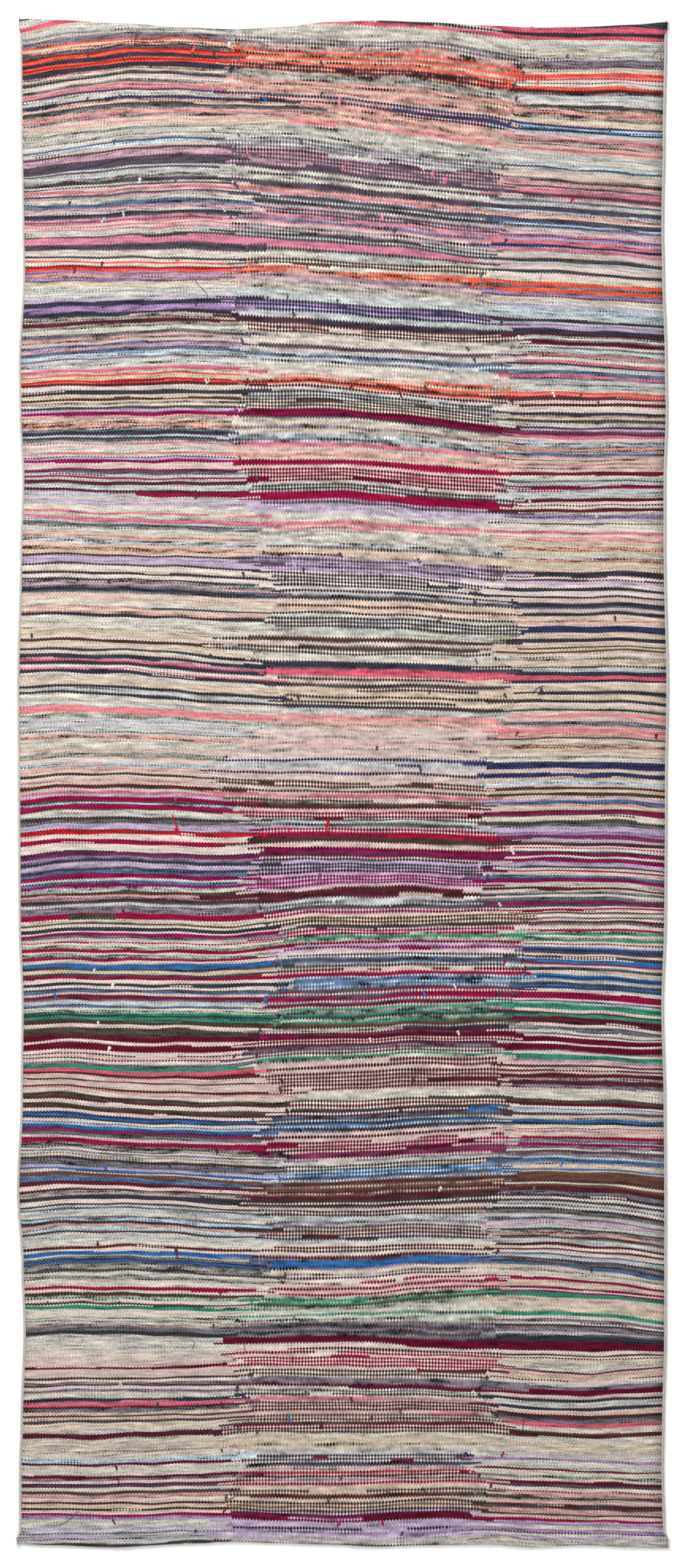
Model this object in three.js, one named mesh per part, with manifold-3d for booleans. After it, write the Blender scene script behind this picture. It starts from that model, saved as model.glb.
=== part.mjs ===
// A flat-woven rag runner lying on a floor, in millimetres: X across, Y along, Z up.
// The origin is the middle of its footprint, on the floor. The far end is at +Y.
import * as THREE from 'three';
import { mergeVertices } from 'three/addons/utils/BufferGeometryUtils.js';
import Module from 'manifold-3d';

// Driving dimensions
const WIDTH = 900;
const LENGTH = 2120;
const CLOTH_THICKNESS = 3.4;
const HEM_THICKNESS = 5;
const HEM_DEPTH = 18;
const HEM_SLOPE = 5;
const CORD_WIDTH = 4.6;
const CORD_HEIGHT = 4.2;
const PIECE_GAP = 0.3;

// The length over which the cloth's side steps in behind a turned corner.
const CORNER_STEP = 0.8;

// Resolution of the woven face and of the edge cords
const COLUMNS = 30;
const HEM_ROWS = 3;
const BODY_ROWS = 74;
const CORD_SIDES = 8;
const CORD_POINTS = 63;
const CORD_STEPS = 90;

// How far each long edge lies outside (+) or inside (-) the nominal width.
// along is the distance from the far end.
const LONG_EDGES = [
  { along: 0, left: 0, right: 1 },
  { along: 35, left: -1, right: 0 },
  { along: 160, left: -2, right: -2 },
  { along: 290, left: -4, right: -4 },
  { along: 350, left: -5, right: -3 },
  { along: 480, left: 1, right: 1 },
  { along: 545, left: 0, right: 2 },
  { along: 640, left: -4, right: -1 },
  { along: 740, left: -1, right: -1 },
  { along: 925, left: 3, right: 3 },
  { along: 1060, left: 2, right: 1 },
  { along: 1245, left: 1, right: 0 },
  { along: 1370, left: -3, right: -4 },
  { along: 1500, left: -2, right: -1 },
  { along: 1625, left: 3, right: 0 },
  { along: 1730, left: -3, right: 0 },
  { along: 1820, left: -6, right: 0 },
  { along: 1945, left: -2, right: -3 },
  { along: 2010, left: 0, right: -4 },
  { along: 2100, left: 0, right: -2 },
  { along: 2120, left: 0, right: -1 },
];

// How far each woven end lies outside (+) or inside (-) the nominal length.
// across is measured from the middle of the runner.
const WOVEN_ENDS = [
  { across: -450, far: 2, near: -5 },
  { across: -400, far: 0, near: -3 },
  { across: -320, far: -4, near: 0 },
  { across: -210, far: -11, near: -5 },
  { across: -150, far: -13, near: -8 },
  { across: -85, far: -10, near: -6 },
  { across: -20, far: -3, near: -4 },
  { across: 45, far: -1, near: -1 },
  { across: 110, far: -3, near: -3 },
  { across: 200, far: -8, near: -4 },
  { across: 265, far: -11, near: 0 },
  { across: 330, far: -10, near: -3 },
  { across: 400, far: -7, near: 0 },
  { across: 450, far: -3, near: 1 },
];

// The turned corners stand out past the edge cords by this much.
const CORNERS = { farLeft: 0, farRight: 0, nearLeft: 3, nearRight: 3 };

// Broad soft swells of the face: height, waves along the runner and across it, and their start.
const SWELLS = [
  { height: 0.28, along: 5.2, across: 0.7, start: 0.4 },
  { height: 0.2, along: 11.3, across: 1.6, start: 1.9 },
  { height: 0.16, along: 18.7, across: -2.3, start: 4.1 },
];

// How far a knot stands out of the face, how deep its middle sits, and its width for its length.
const KNOT_RISE = 0.9;
const KNOT_SINK = 0.5;
const KNOT_SLIMNESS = 0.5;

// The larger knots where one strip of rag is tied to the next.
// across is measured from the middle of the runner, fromFar from the far end.
const KNOTS = [
  { across: -287, fromFar: 24, length: 12 },
  { across: -355, fromFar: 48, length: 13 },
  { across: -208, fromFar: 41, length: 12 },
  { across: 230, fromFar: 91, length: 14 },
  { across: -5, fromFar: 113, length: 14 },
  { across: 232, fromFar: 144, length: 15 },
  { across: 20, fromFar: 191, length: 13 },
  { across: 2, fromFar: 203, length: 13 },
  { across: -150, fromFar: 176, length: 12 },
  { across: -148, fromFar: 230, length: 13 },
  { across: -130, fromFar: 339, length: 12 },
  { across: 192, fromFar: 356, length: 15 },
  { across: 180, fromFar: 370, length: 12 },
  { across: -205, fromFar: 393, length: 12 },
  { across: -148, fromFar: 392, length: 12 },
  { across: -134, fromFar: 503, length: 15 },
  { across: 80, fromFar: 519, length: 13 },
  { across: 235, fromFar: 530, length: 13 },
  { across: -148, fromFar: 542, length: 15 },
  { across: -143, fromFar: 610, length: 12 },
  { across: -205, fromFar: 659, length: 16 },
  { across: -68, fromFar: 755, length: 13 },
  { across: 135, fromFar: 831, length: 13 },
  { across: 185, fromFar: 890, length: 12 },
  { across: 107, fromFar: 1041, length: 12 },
  { across: -232, fromFar: 1124, length: 14 },
  { across: -22, fromFar: 1118, length: 16 },
  { across: 200, fromFar: 1191, length: 13 },
  { across: 235, fromFar: 1153, length: 14 },
  { across: 190, fromFar: 1173, length: 12 },
  { across: -85, fromFar: 1311, length: 13 },
  { across: 253, fromFar: 1318, length: 12 },
  { across: -108, fromFar: 1360, length: 13 },
  { across: 97, fromFar: 1472, length: 13 },
  { across: 217, fromFar: 1476, length: 12 },
  { across: -250, fromFar: 1503, length: 13 },
  { across: 80, fromFar: 1513, length: 15 },
  { across: -195, fromFar: 1638, length: 12 },
  { across: 305, fromFar: 1586, length: 15 },
  { across: -340, fromFar: 1700, length: 14 },
  { across: -232, fromFar: 1709, length: 15 },
  { across: -80, fromFar: 1743, length: 12 },
  { across: -146, fromFar: 1898, length: 16 },
  { across: 80, fromFar: 1933, length: 12 },
  { across: -2, fromFar: 2023, length: 12 },
  { across: -20, fromFar: 2055, length: 12 },
  { across: -5, fromFar: 2087, length: 12 },
];

const wasm = await Module();
wasm.setup();

// A smooth value from a table's rows, at a place measured by one of its columns.
function readTable(table, placeColumn, valueColumn, place) {
  const last = table.length - 1;
  const row = Math.min(
    Math.max(table.findIndex((entry) => entry[placeColumn] > place) - 1, 0),
    last - 1,
  );
  const low = place >= table[last][placeColumn] ? last - 1 : row;
  const span = table[low + 1][placeColumn] - table[low][placeColumn];
  const share = THREE.MathUtils.clamp((place - table[low][placeColumn]) / span, 0, 1);
  const eased = THREE.MathUtils.smoothstep(share, 0, 1);
  return THREE.MathUtils.lerp(table[low][valueColumn], table[low + 1][valueColumn], eased);
}

// The outermost X of the runner's long side at a distance from the far end.
function outerEdge(side, along) {
  const stray = readTable(LONG_EDGES, 'along', side < 0 ? 'left' : 'right', along);
  return side * (WIDTH / 2 + stray);
}

// The Y of a woven end at a place across the runner.
function wovenEnd(side, across) {
  const stray = readTable(WOVEN_ENDS, 'across', side > 0 ? 'far' : 'near', across);
  return side * (LENGTH / 2 + stray);
}

// How far the cloth's own edge is drawn in at a distance from the far end: the edge cord
// takes its place along the body, and the turned corners reach out past the cord.
function clothInset(side, along) {
  const toFar = along;
  const toNear = LENGTH - along;
  if (toFar < HEM_DEPTH) return -(side < 0 ? CORNERS.farLeft : CORNERS.farRight);
  if (toNear < HEM_DEPTH) return -(side < 0 ? CORNERS.nearLeft : CORNERS.nearRight);
  return CORD_WIDTH + PIECE_GAP;
}

// The woven face's height: the cloth, its swells, and the second layer at the turned ends.
function faceHeight(across, along) {
  const toEnd = Math.min(along, LENGTH - along);
  const hem = 1 - THREE.MathUtils.smoothstep(toEnd, HEM_DEPTH, HEM_DEPTH + HEM_SLOPE);
  const turn = 2 * Math.PI;
  const swell = SWELLS.reduce((sum, wave) => {
    const phase = turn * (wave.along * (along / LENGTH) + wave.across * (across / WIDTH));
    return sum + wave.height * Math.sin(phase + wave.start);
  }, 0);
  return CLOTH_THICKNESS + swell * (1 - hem) + hem * (HEM_THICKNESS - CLOTH_THICKNESS);
}

// Distances from the far end at which the woven face has a row of points.
function rowPlaces() {
  const beforeStep = HEM_DEPTH - CORNER_STEP / 2;
  const afterStep = HEM_DEPTH + CORNER_STEP / 2;
  const hem = Array.from({ length: HEM_ROWS + 1 }, (_, i) => (beforeStep * i) / HEM_ROWS);
  const hemRows = [...hem, afterStep, HEM_DEPTH + HEM_SLOPE];
  const bodyStart = HEM_DEPTH + 2 * HEM_SLOPE;
  const bodyLength = LENGTH - 2 * bodyStart;
  const body = Array.from(
    { length: BODY_ROWS + 1 },
    (_, i) => bodyStart + (bodyLength * i) / BODY_ROWS,
  );
  const nearHem = hemRows.map((place) => LENGTH - place).reverse();
  return [...hemRows, ...body, ...nearHem];
}

// A point of the woven face, share being how far across it is, from 0 at the left edge to 1.
function facePoint(share, along) {
  const left = outerEdge(-1, along) + clothInset(-1, along);
  const right = outerEdge(1, along) - clothInset(1, along);
  const x = THREE.MathUtils.lerp(left, right, share);
  const far = wovenEnd(1, x);
  const near = wovenEnd(-1, x);
  const y = THREE.MathUtils.lerp(far, near, along / LENGTH);
  return new THREE.Vector3(x, y, faceHeight(x, along));
}

// A knot lying along the runner, standing a little proud of the face with the rest sunk in.
function knotSolid({ across, fromFar, length }) {
  const knot = new THREE.IcosahedronGeometry(1, 1);
  knot.scale((length * KNOT_SLIMNESS) / 2, length / 2, KNOT_RISE + KNOT_SINK);
  const y = LENGTH / 2 - fromFar;
  knot.translate(across, y, faceHeight(across, fromFar) - KNOT_SINK);
  return manifoldOf(knot);
}

// A closed geometry as a solid that can be joined.
function manifoldOf(geometry) {
  geometry.deleteAttribute('normal');
  geometry.deleteAttribute('uv');
  const merged = mergeVertices(geometry, 1e-4);
  return new wasm.Manifold(
    new wasm.Mesh({
      numProp: 3,
      vertProperties: merged.attributes.position.array,
      triVerts: new Uint32Array(merged.index.array),
    }),
  );
}

// A solid as a three.js geometry with flat faces.
function geometryOf(solid) {
  const mesh = solid.getMesh();
  const geometry = new THREE.BufferGeometry();
  geometry.setAttribute('position', new THREE.BufferAttribute(mesh.vertProperties, 3));
  geometry.setIndex(new THREE.BufferAttribute(mesh.triVerts, 1));
  const faceted = geometry.toNonIndexed();
  faceted.computeVertexNormals();
  return faceted;
}

// The cloth: a swelling woven face over a flat underside, closed by a rim.
function clothPlate() {
  const rows = rowPlaces();
  const points = rows.flatMap((along) =>
    Array.from({ length: COLUMNS + 1 }, (_, i) => facePoint(i / COLUMNS, along)),
  );
  const at = (row, column) => row * (COLUMNS + 1) + column;
  const faces = [];
  for (let row = 0; row < rows.length - 1; row += 1) {
    for (let column = 0; column < COLUMNS; column += 1) {
      const [a, b] = [at(row, column), at(row, column + 1)];
      const [c, d] = [at(row + 1, column), at(row + 1, column + 1)];
      faces.push([a, c, d], [a, d, b]);
    }
  }
  const lastRow = rows.length - 1;
  const leftRim = rows.map((_, row) => at(row, 0));
  const nearRim = Array.from({ length: COLUMNS - 1 }, (_, i) => at(lastRow, i + 1));
  const rightRim = rows.map((_, row) => at(lastRow - row, COLUMNS));
  const farRim = Array.from({ length: COLUMNS - 1 }, (_, i) => at(0, COLUMNS - 1 - i));
  const rim = [...leftRim, ...nearRim, ...rightRim, ...farRim];
  const floorStart = points.length;
  rim.forEach((index) => points.push(points[index].clone().setZ(0)));
  rim.forEach((top, i) => {
    const next = (i + 1) % rim.length;
    const [low, lowNext] = [floorStart + i, floorStart + next];
    faces.push([top, low, lowNext], [top, lowNext, rim[next]]);
  });
  const outline = rim.map((index) => new THREE.Vector2(points[index].x, points[index].y));
  THREE.ShapeUtils.triangulateShape(outline, []).forEach(([a, b, c]) => {
    faces.push([floorStart + a, floorStart + c, floorStart + b]);
  });
  const geometry = new THREE.BufferGeometry().setFromPoints(points);
  geometry.setIndex(faces.flat());
  return manifoldOf(geometry);
}

function cloth() {
  const joined = KNOTS.reduce((solid, knot) => solid.add(knotSolid(knot)), clothPlate());
  const weft = new THREE.MeshStandardMaterial({
    color: 0xb0a39f,
    roughness: 0.95,
    metalness: 0,
  });
  const mesh = new THREE.Mesh(geometryOf(joined), weft);
  mesh.name = 'woven_cloth';
  return mesh;
}

// The overcast cord along one long edge, a many-sided roll lying flat on the floor.
function edgeCord(side, name) {
  const start = HEM_DEPTH + CORNER_STEP / 2 + 2 * PIECE_GAP;
  const places = Array.from(
    { length: CORD_POINTS },
    (_, i) => start + ((LENGTH - 2 * start) * i) / (CORD_POINTS - 1),
  );
  const route = places.map((along) => {
    const x = outerEdge(side, along) - (side * CORD_WIDTH) / 2;
    const y = THREE.MathUtils.lerp(wovenEnd(1, x), wovenEnd(-1, x), along / LENGTH);
    return new THREE.Vector3(x, y, CORD_HEIGHT / 2);
  });
  const flat = Math.cos(Math.PI / CORD_SIDES);
  const corners = Array.from({ length: CORD_SIDES }, (_, i) => {
    const angle = ((i + 0.5) / CORD_SIDES) * 2 * Math.PI;
    const up = (Math.cos(angle) * CORD_HEIGHT) / 2 / flat;
    const out = (Math.sin(angle) * CORD_WIDTH) / 2 / flat;
    return new THREE.Vector2(up, out);
  });
  const roll = new THREE.ExtrudeGeometry(new THREE.Shape(corners), {
    steps: CORD_STEPS,
    extrudePath: new THREE.CatmullRomCurve3(route),
  });
  const overcasting = new THREE.MeshStandardMaterial({
    color: 0x93978f,
    roughness: 0.9,
    metalness: 0,
  });
  const mesh = new THREE.Mesh(roll, overcasting);
  mesh.name = name;
  return mesh;
}

const runner = new THREE.Group();
runner.add(cloth());
runner.add(edgeCord(-1, 'edge_cord_left'));
runner.add(edgeCord(1, 'edge_cord_right'));

export default runner;
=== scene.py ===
"""A flat-woven rag runner with overcast long edges, lying on a pale floor.

The cloth is drawn pick by pick: every pair of picks of the draft is one row of faces, and
the weave material shows each pick, or in the middle each pair, on every other warp. Lengths
are in millimetres in the tables and in metres in the meshes. across is measured from the
middle of the runner, and down from the far end. Entries of a table end at semicolons.
"""
import logging
import math
import random
from dataclasses import dataclass, field
from enum import Enum

import bmesh
import bpy
import numpy as np
from bmesh.types import BMEdge, BMesh, BMFace, BMVert
from mathutils import Matrix, Vector


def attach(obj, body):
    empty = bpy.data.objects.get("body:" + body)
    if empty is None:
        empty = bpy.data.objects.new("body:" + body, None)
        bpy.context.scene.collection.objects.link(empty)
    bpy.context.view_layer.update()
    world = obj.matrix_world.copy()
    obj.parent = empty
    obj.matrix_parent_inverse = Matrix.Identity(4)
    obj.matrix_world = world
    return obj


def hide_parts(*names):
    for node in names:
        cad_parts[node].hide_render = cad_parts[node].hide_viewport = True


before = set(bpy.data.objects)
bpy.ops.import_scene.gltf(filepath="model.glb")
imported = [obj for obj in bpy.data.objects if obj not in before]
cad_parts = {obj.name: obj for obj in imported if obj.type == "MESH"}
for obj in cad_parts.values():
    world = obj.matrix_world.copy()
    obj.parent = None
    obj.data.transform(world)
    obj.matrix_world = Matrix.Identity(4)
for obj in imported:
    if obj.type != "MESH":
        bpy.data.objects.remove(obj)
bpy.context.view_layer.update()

# A node's socket, and a pick as the across where each of its yarns ends, with the yarn.
Socket = bpy.types.NodeSocket
Runs = list[tuple[float, str]]

log = logging.getLogger("runner")

# A millimetre in metres, how far the far rule lies from the runner's middle, and the
# spacing of the warps and of the pairs of picks.
MM = 0.001
FAR_RULE = 1062.4
WARP_PITCH = 2.2
PAIR_PITCH = 2.5

# The cloth's nominal size, and the downs where it nominally starts and stops.
CLOTH_WIDTH = 900.0
CLOTH_LENGTH = 2120.0
CLOTH_START = 2.4
CLOTH_STOP = 2122.4

# Distances from the middle: past either edge, where the weave map starts on the left, and
# just inside an edge.
BEYOND = 1000.0
MAP_REACH = 500.0
NEAR_EDGE = 440.0

# Vertices closer than this are joined, and faces smaller than this are dropped, in metres.
WELD = 2e-5
SLIVER = 1e-10

# The brightest value of a display shade.
BRIGHTEST = 255


class Side(Enum):
    """A long edge of the runner, as the sign of its across."""

    LEFT = -1
    RIGHT = 1


# Yarn shades as red, green, blue from 0 to 255, and how mottled the yarn is from 0 to 1.
YARNS = {
    "cream": (224, 208, 198, 0.10),
    "ecru": (207, 200, 187, 0.16),
    "sage": (190, 184, 173, 0.22),
    "sand": (208, 190, 168, 0.14),
    "peach": (212, 188, 170, 0.14),
    "blush": (211, 188, 181, 0.12),
    "salmon": (203, 153, 146, 0.22),
    "coral": (228, 134, 138, 0.12),
    "orange": (222, 88, 66, 0.20),
    "scarlet": (176, 24, 40, 0.16),
    "rose": (200, 116, 130, 0.20),
    "pink": (204, 126, 148, 0.12),
    "raspberry": (206, 92, 112, 0.18),
    "crimson": (142, 14, 58, 0.16),
    "magenta": (134, 20, 74, 0.20),
    "wine": (96, 14, 42, 0.18),
    "maroon": (84, 34, 44, 0.18),
    "umber": (104, 72, 60, 0.14),
    "brown": (76, 54, 48, 0.18),
    "olive": (75, 67, 59, 0.26),
    "black": (57, 51, 54, 0.20),
    "charcoal": (70, 66, 69, 0.26),
    "plum": (82, 70, 82, 0.22),
    "plumgrey": (120, 108, 118, 0.36),
    "slate": (100, 102, 108, 0.34),
    "ink": (54, 53, 66, 0.20),
    "navy": (48, 52, 86, 0.24),
    "denim": (82, 101, 133, 0.34),
    "blue": (48, 100, 156, 0.20),
    "mist": (186, 188, 186, 0.18),
    "sky": (168, 190, 202, 0.30),
    "lilac": (186, 166, 192, 0.16),
    "purple": (152, 122, 164, 0.24),
    "green": (54, 132, 108, 0.22),
    "moss": (142, 158, 138, 0.44),
    "taupe": (164, 150, 142, 0.34),
    "tweed": (104, 95, 93, 0.70),
    "rust": (178, 132, 118, 0.50),
    "mauve": (184, 146, 158, 0.24),
    "bluegrey": (158, 160, 168, 0.50),
    "drab": (140, 134, 128, 0.44),
}

# Weft lines that run right across the cloth, each as pairs of across and down.
WEFT_LINES = """
-450 14 -400 2 -350 -5 -300 -8 -200 -8 -100 -4 0 0 50 4 100 7 150 11 200 17 250 23 300 24 400 25 450 27;
-450 37 -400 30 -350 25 -300 22 -200 21 -150 24 -100 28 0 31 100 33 150 37 200 46 250 54 300 55 400 55
  450 56;
-450 84 -400 77 -350 70 -300 63 -250 62 -200 65 -100 71 0 77 100 81 150 88 200 96 250 100 300 103 400 102
  450 107;
-450 118 -400 111 -350 102 -300 99 -200 100 -100 105 0 110 50 116 100 124 150 130 200 134 250 146 300 149
  350 154 450 159;
-450 158 -400 155 -350 148 -300 143 -200 141 -100 139 -50 141 0 147 100 160 150 168 200 175 250 179
  300 182 400 188 450 193;
-450 188 -400 182 -350 174 -300 167 -250 163 -200 163 -100 165 -50 168 0 176 100 190 200 200 300 208
  400 216 450 220;
-450 245 -400 244 -350 242 -300 237 -200 232 -150 234 -100 239 0 247 100 259 200 268 300 274 400 283
  450 287;
-450 306 -400 307 -350 305 -300 301 -200 297 -100 303 0 310 50 314 100 318 150 326 200 332 300 334 400 341
  450 346;
-450 333 -300 334 -150 335 -100 331 -50 333 0 338 100 345 150 344 200 349 250 349 300 351 400 360 450 364;
-450 346 -200 346 -150 345 -100 342 0 349 100 357 200 362 300 368 400 373 450 377;
-450 397 -400 396 -300 394 -200 389 -100 389 0 396 100 405 150 406 200 414 300 419 400 424 450 429;
-450 427 -400 427 -300 422 -250 418 -200 418 -100 424 0 430 100 437 150 441 200 441 250 437 300 440
  400 443 450 447;
-450 472 -400 469 -300 462 -200 458 -100 464 0 469 100 474 150 478 250 479 300 480 350 484 400 487
  450 491;
-450 511 -400 510 -300 508 -250 505 -200 505 -100 506 -50 503 0 508 50 514 100 519 150 524 200 528 300 526
  400 529 450 530;
-450 550 -400 550 -300 548 -200 546 0 547 50 551 100 556 150 563 200 570 250 574 300 577 450 577;
-450 607 -300 606 -200 605 0 606 50 608 100 612 200 619 300 621 450 621;
-450 653 -400 654 -350 657 -300 658 -200 657 -100 655 0 652 50 657 100 665 200 671 250 673 300 672
  450 671;
-450 689 -400 693 -350 696 -300 697 -200 699 -100 701 0 701 50 703 100 708 200 711 300 713 450 716;
-450 742 -400 743 -300 746 -200 747 -100 748 0 752 100 757 150 760 200 766 300 769 400 767 450 770;
-450 757 -400 757 -300 760 -200 762 -100 767 0 772 100 778 150 783 200 790 300 793 400 791 450 797;
-450 792 -400 792 -300 793 -200 797 -100 801 0 801 100 805 200 813 300 816 400 815 450 819;
-450 828 -400 828 -300 832 -200 834 -100 837 0 837 100 841 150 846 200 849 400 848 450 852;
-450 862 -400 862 -300 865 -200 870 -100 874 0 878 100 879 200 880 300 879 400 877 450 881;
-450 875 -400 875 -300 877 -250 879 -200 883 -150 889 -100 893 0 893 100 896 200 900 400 901 450 902;
-450 906 -350 906 -300 907 -250 912 -200 916 -100 920 0 925 100 926 200 928 250 926 400 926 450 928;
-450 937 -400 937 -350 937 -300 941 -250 944 -200 948 -100 953 0 956 100 957 200 962 300 960 400 961
  450 967;
-450 1027 -400 1024 -300 1022 -200 1024 -100 1025 0 1021 50 1023 200 1026 300 1025 400 1026 450 1029;
-450 1054 -400 1050 -300 1049 -200 1053 -100 1058 0 1061 100 1060 150 1065 200 1067 300 1063 400 1066
  450 1069;
-450 1106 -400 1100 -300 1100 -200 1102 -150 1105 -100 1107 0 1107 100 1108 200 1109 300 1107 400 1106
  450 1112;
-450 1114 -400 1110 -300 1109 -200 1112 -100 1113 100 1113 150 1115 200 1119 300 1117 400 1117 450 1122;
-450 1148 -400 1144 -300 1145 -200 1148 -150 1147 -100 1143 0 1143 100 1146 200 1150 300 1147 400 1150
  450 1154;
-450 1178 -400 1172 -350 1168 -300 1168 -200 1174 -100 1172 0 1171 100 1173 200 1178 300 1177 400 1181
  450 1186;
-450 1219 -400 1218 -300 1214 -200 1216 -100 1211 -50 1206 0 1202 50 1203 100 1202 150 1206 200 1207
  250 1206 350 1206 400 1208 450 1215;
-450 1263 -400 1260 -350 1257 -300 1258 -200 1261 -150 1261 -100 1255 -50 1248 0 1247 50 1249 100 1247
  200 1244 300 1242 400 1241 450 1243;
-450 1295 -400 1294 -200 1295 -150 1295 -100 1290 -50 1286 0 1283 150 1283 200 1284 300 1285 400 1289
  450 1291;
-450 1315 -400 1313 -200 1314 -150 1311 -100 1307 -50 1304 0 1303 100 1302 200 1302 300 1305 400 1310
  450 1314;
-450 1362 -400 1360 -200 1361 -100 1361 0 1358 50 1356 100 1353 200 1353 300 1355 350 1357 400 1361
  450 1366;
-450 1398 -300 1399 -200 1400 -100 1403 0 1403 50 1400 100 1397 150 1397 200 1394 250 1393 300 1396
  350 1399 400 1403 450 1408;
-450 1424 -400 1422 -350 1422 -300 1427 -200 1424 -100 1421 0 1418 100 1415 200 1416 300 1418 350 1423
  400 1427 450 1424;
-450 1452 -400 1452 -350 1454 -300 1457 -200 1456 -150 1453 -100 1447 0 1441 100 1437 200 1438 250 1436
  300 1437 400 1443 450 1445;
-450 1464 -400 1465 -300 1471 -200 1472 -150 1470 -100 1467 0 1464 100 1459 300 1459 400 1461 450 1463;
-450 1491 -400 1491 -350 1496 -300 1500 -200 1504 0 1503 100 1499 150 1497 200 1497 250 1500 300 1503
  400 1504 450 1509;
-450 1541 -400 1543 -350 1546 -300 1550 -200 1551 -100 1553 0 1551 100 1546 150 1543 200 1540 300 1540
  400 1543 450 1544;
-450 1597 -400 1596 -350 1599 -300 1602 -200 1605 -150 1608 -100 1611 -50 1609 0 1607 100 1602 200 1598
  300 1596 350 1598 400 1601 450 1605;
-450 1639 -400 1636 -350 1633 -300 1634 -200 1638 -100 1640 0 1640 100 1638 150 1634 200 1630 250 1628
  300 1629 350 1632 400 1636 450 1644;
-450 1651 -400 1648 -350 1645 -300 1644 -250 1646 -200 1649 -150 1653 0 1655 100 1653 200 1651 250 1650
  300 1652 350 1657 400 1662 450 1672;
-450 1675 -400 1672 -300 1671 -250 1673 -200 1678 -100 1681 0 1680 100 1676 150 1677 200 1681 300 1680
  350 1683 400 1688 450 1695;
-450 1711 -400 1708 -350 1706 -300 1704 -200 1708 -100 1710 -50 1712 0 1710 100 1707 250 1708 300 1709
  350 1714 400 1716 450 1724;
-450 1732 -400 1729 -300 1727 -200 1731 -100 1738 0 1738 50 1736 100 1730 200 1728 250 1728 300 1732
  350 1738 400 1744 450 1754;
-450 1765 -400 1764 -200 1765 -100 1767 -50 1769 0 1768 50 1765 100 1759 200 1756 250 1756 300 1758
  350 1762 400 1766 450 1773;
-450 1791 -300 1792 -200 1793 -100 1792 0 1790 50 1787 100 1781 150 1779 200 1775 250 1774 300 1776
  400 1781 450 1788;
-450 1801 -100 1800 0 1797 100 1796 200 1795 300 1797 350 1800 400 1804 450 1813;
-450 1829 -400 1827 -300 1829 -200 1831 0 1828 50 1830 100 1834 200 1837 300 1836 400 1839 450 1841;
-450 1875 -300 1876 -250 1875 -200 1872 -150 1869 -100 1867 0 1868 100 1870 200 1871 250 1875 300 1879
  350 1882 400 1876 450 1871;
-450 1900 -400 1901 -300 1899 -200 1898 -100 1897 0 1899 100 1901 200 1905 250 1908 300 1911 350 1912
  400 1909 450 1905;
-450 1941 -300 1940 -200 1937 -150 1933 -100 1930 0 1929 100 1929 150 1930 200 1932 250 1938 300 1942
  350 1943 400 1941 450 1939;
-450 1972 -350 1974 -300 1971 -200 1967 -150 1962 -100 1960 0 1961 200 1960 250 1965 300 1969 375 1972
  400 1969 450 1967;
-450 2006 -400 2009 -350 2011 -300 2009 -200 2004 -150 2002 -100 2000 0 1999 200 1998 300 2001 400 2006
  450 2007;
-450 2036 -400 2039 -350 2039 -300 2037 -200 2034 -150 2031 -100 2030 0 2031 100 2028 150 2026 200 2028
  300 2034 400 2037 450 2037;
-450 2076 -400 2079 -300 2080 -200 2077 -150 2077 -100 2080 0 2083 50 2080 100 2078 150 2077 200 2080
  300 2084 400 2087 450 2087;
-450 2104 -400 2105 -300 2103 -200 2099 -100 2098 0 2101 100 2101 150 2098 200 2097 300 2103 400 2105
  450 2106;
-450 2121 -400 2121 -300 2120 -200 2114 -100 2116 0 2120 100 2120 170 2113 200 2113 250 2118 300 2122
  450 2125;
"""

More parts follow.
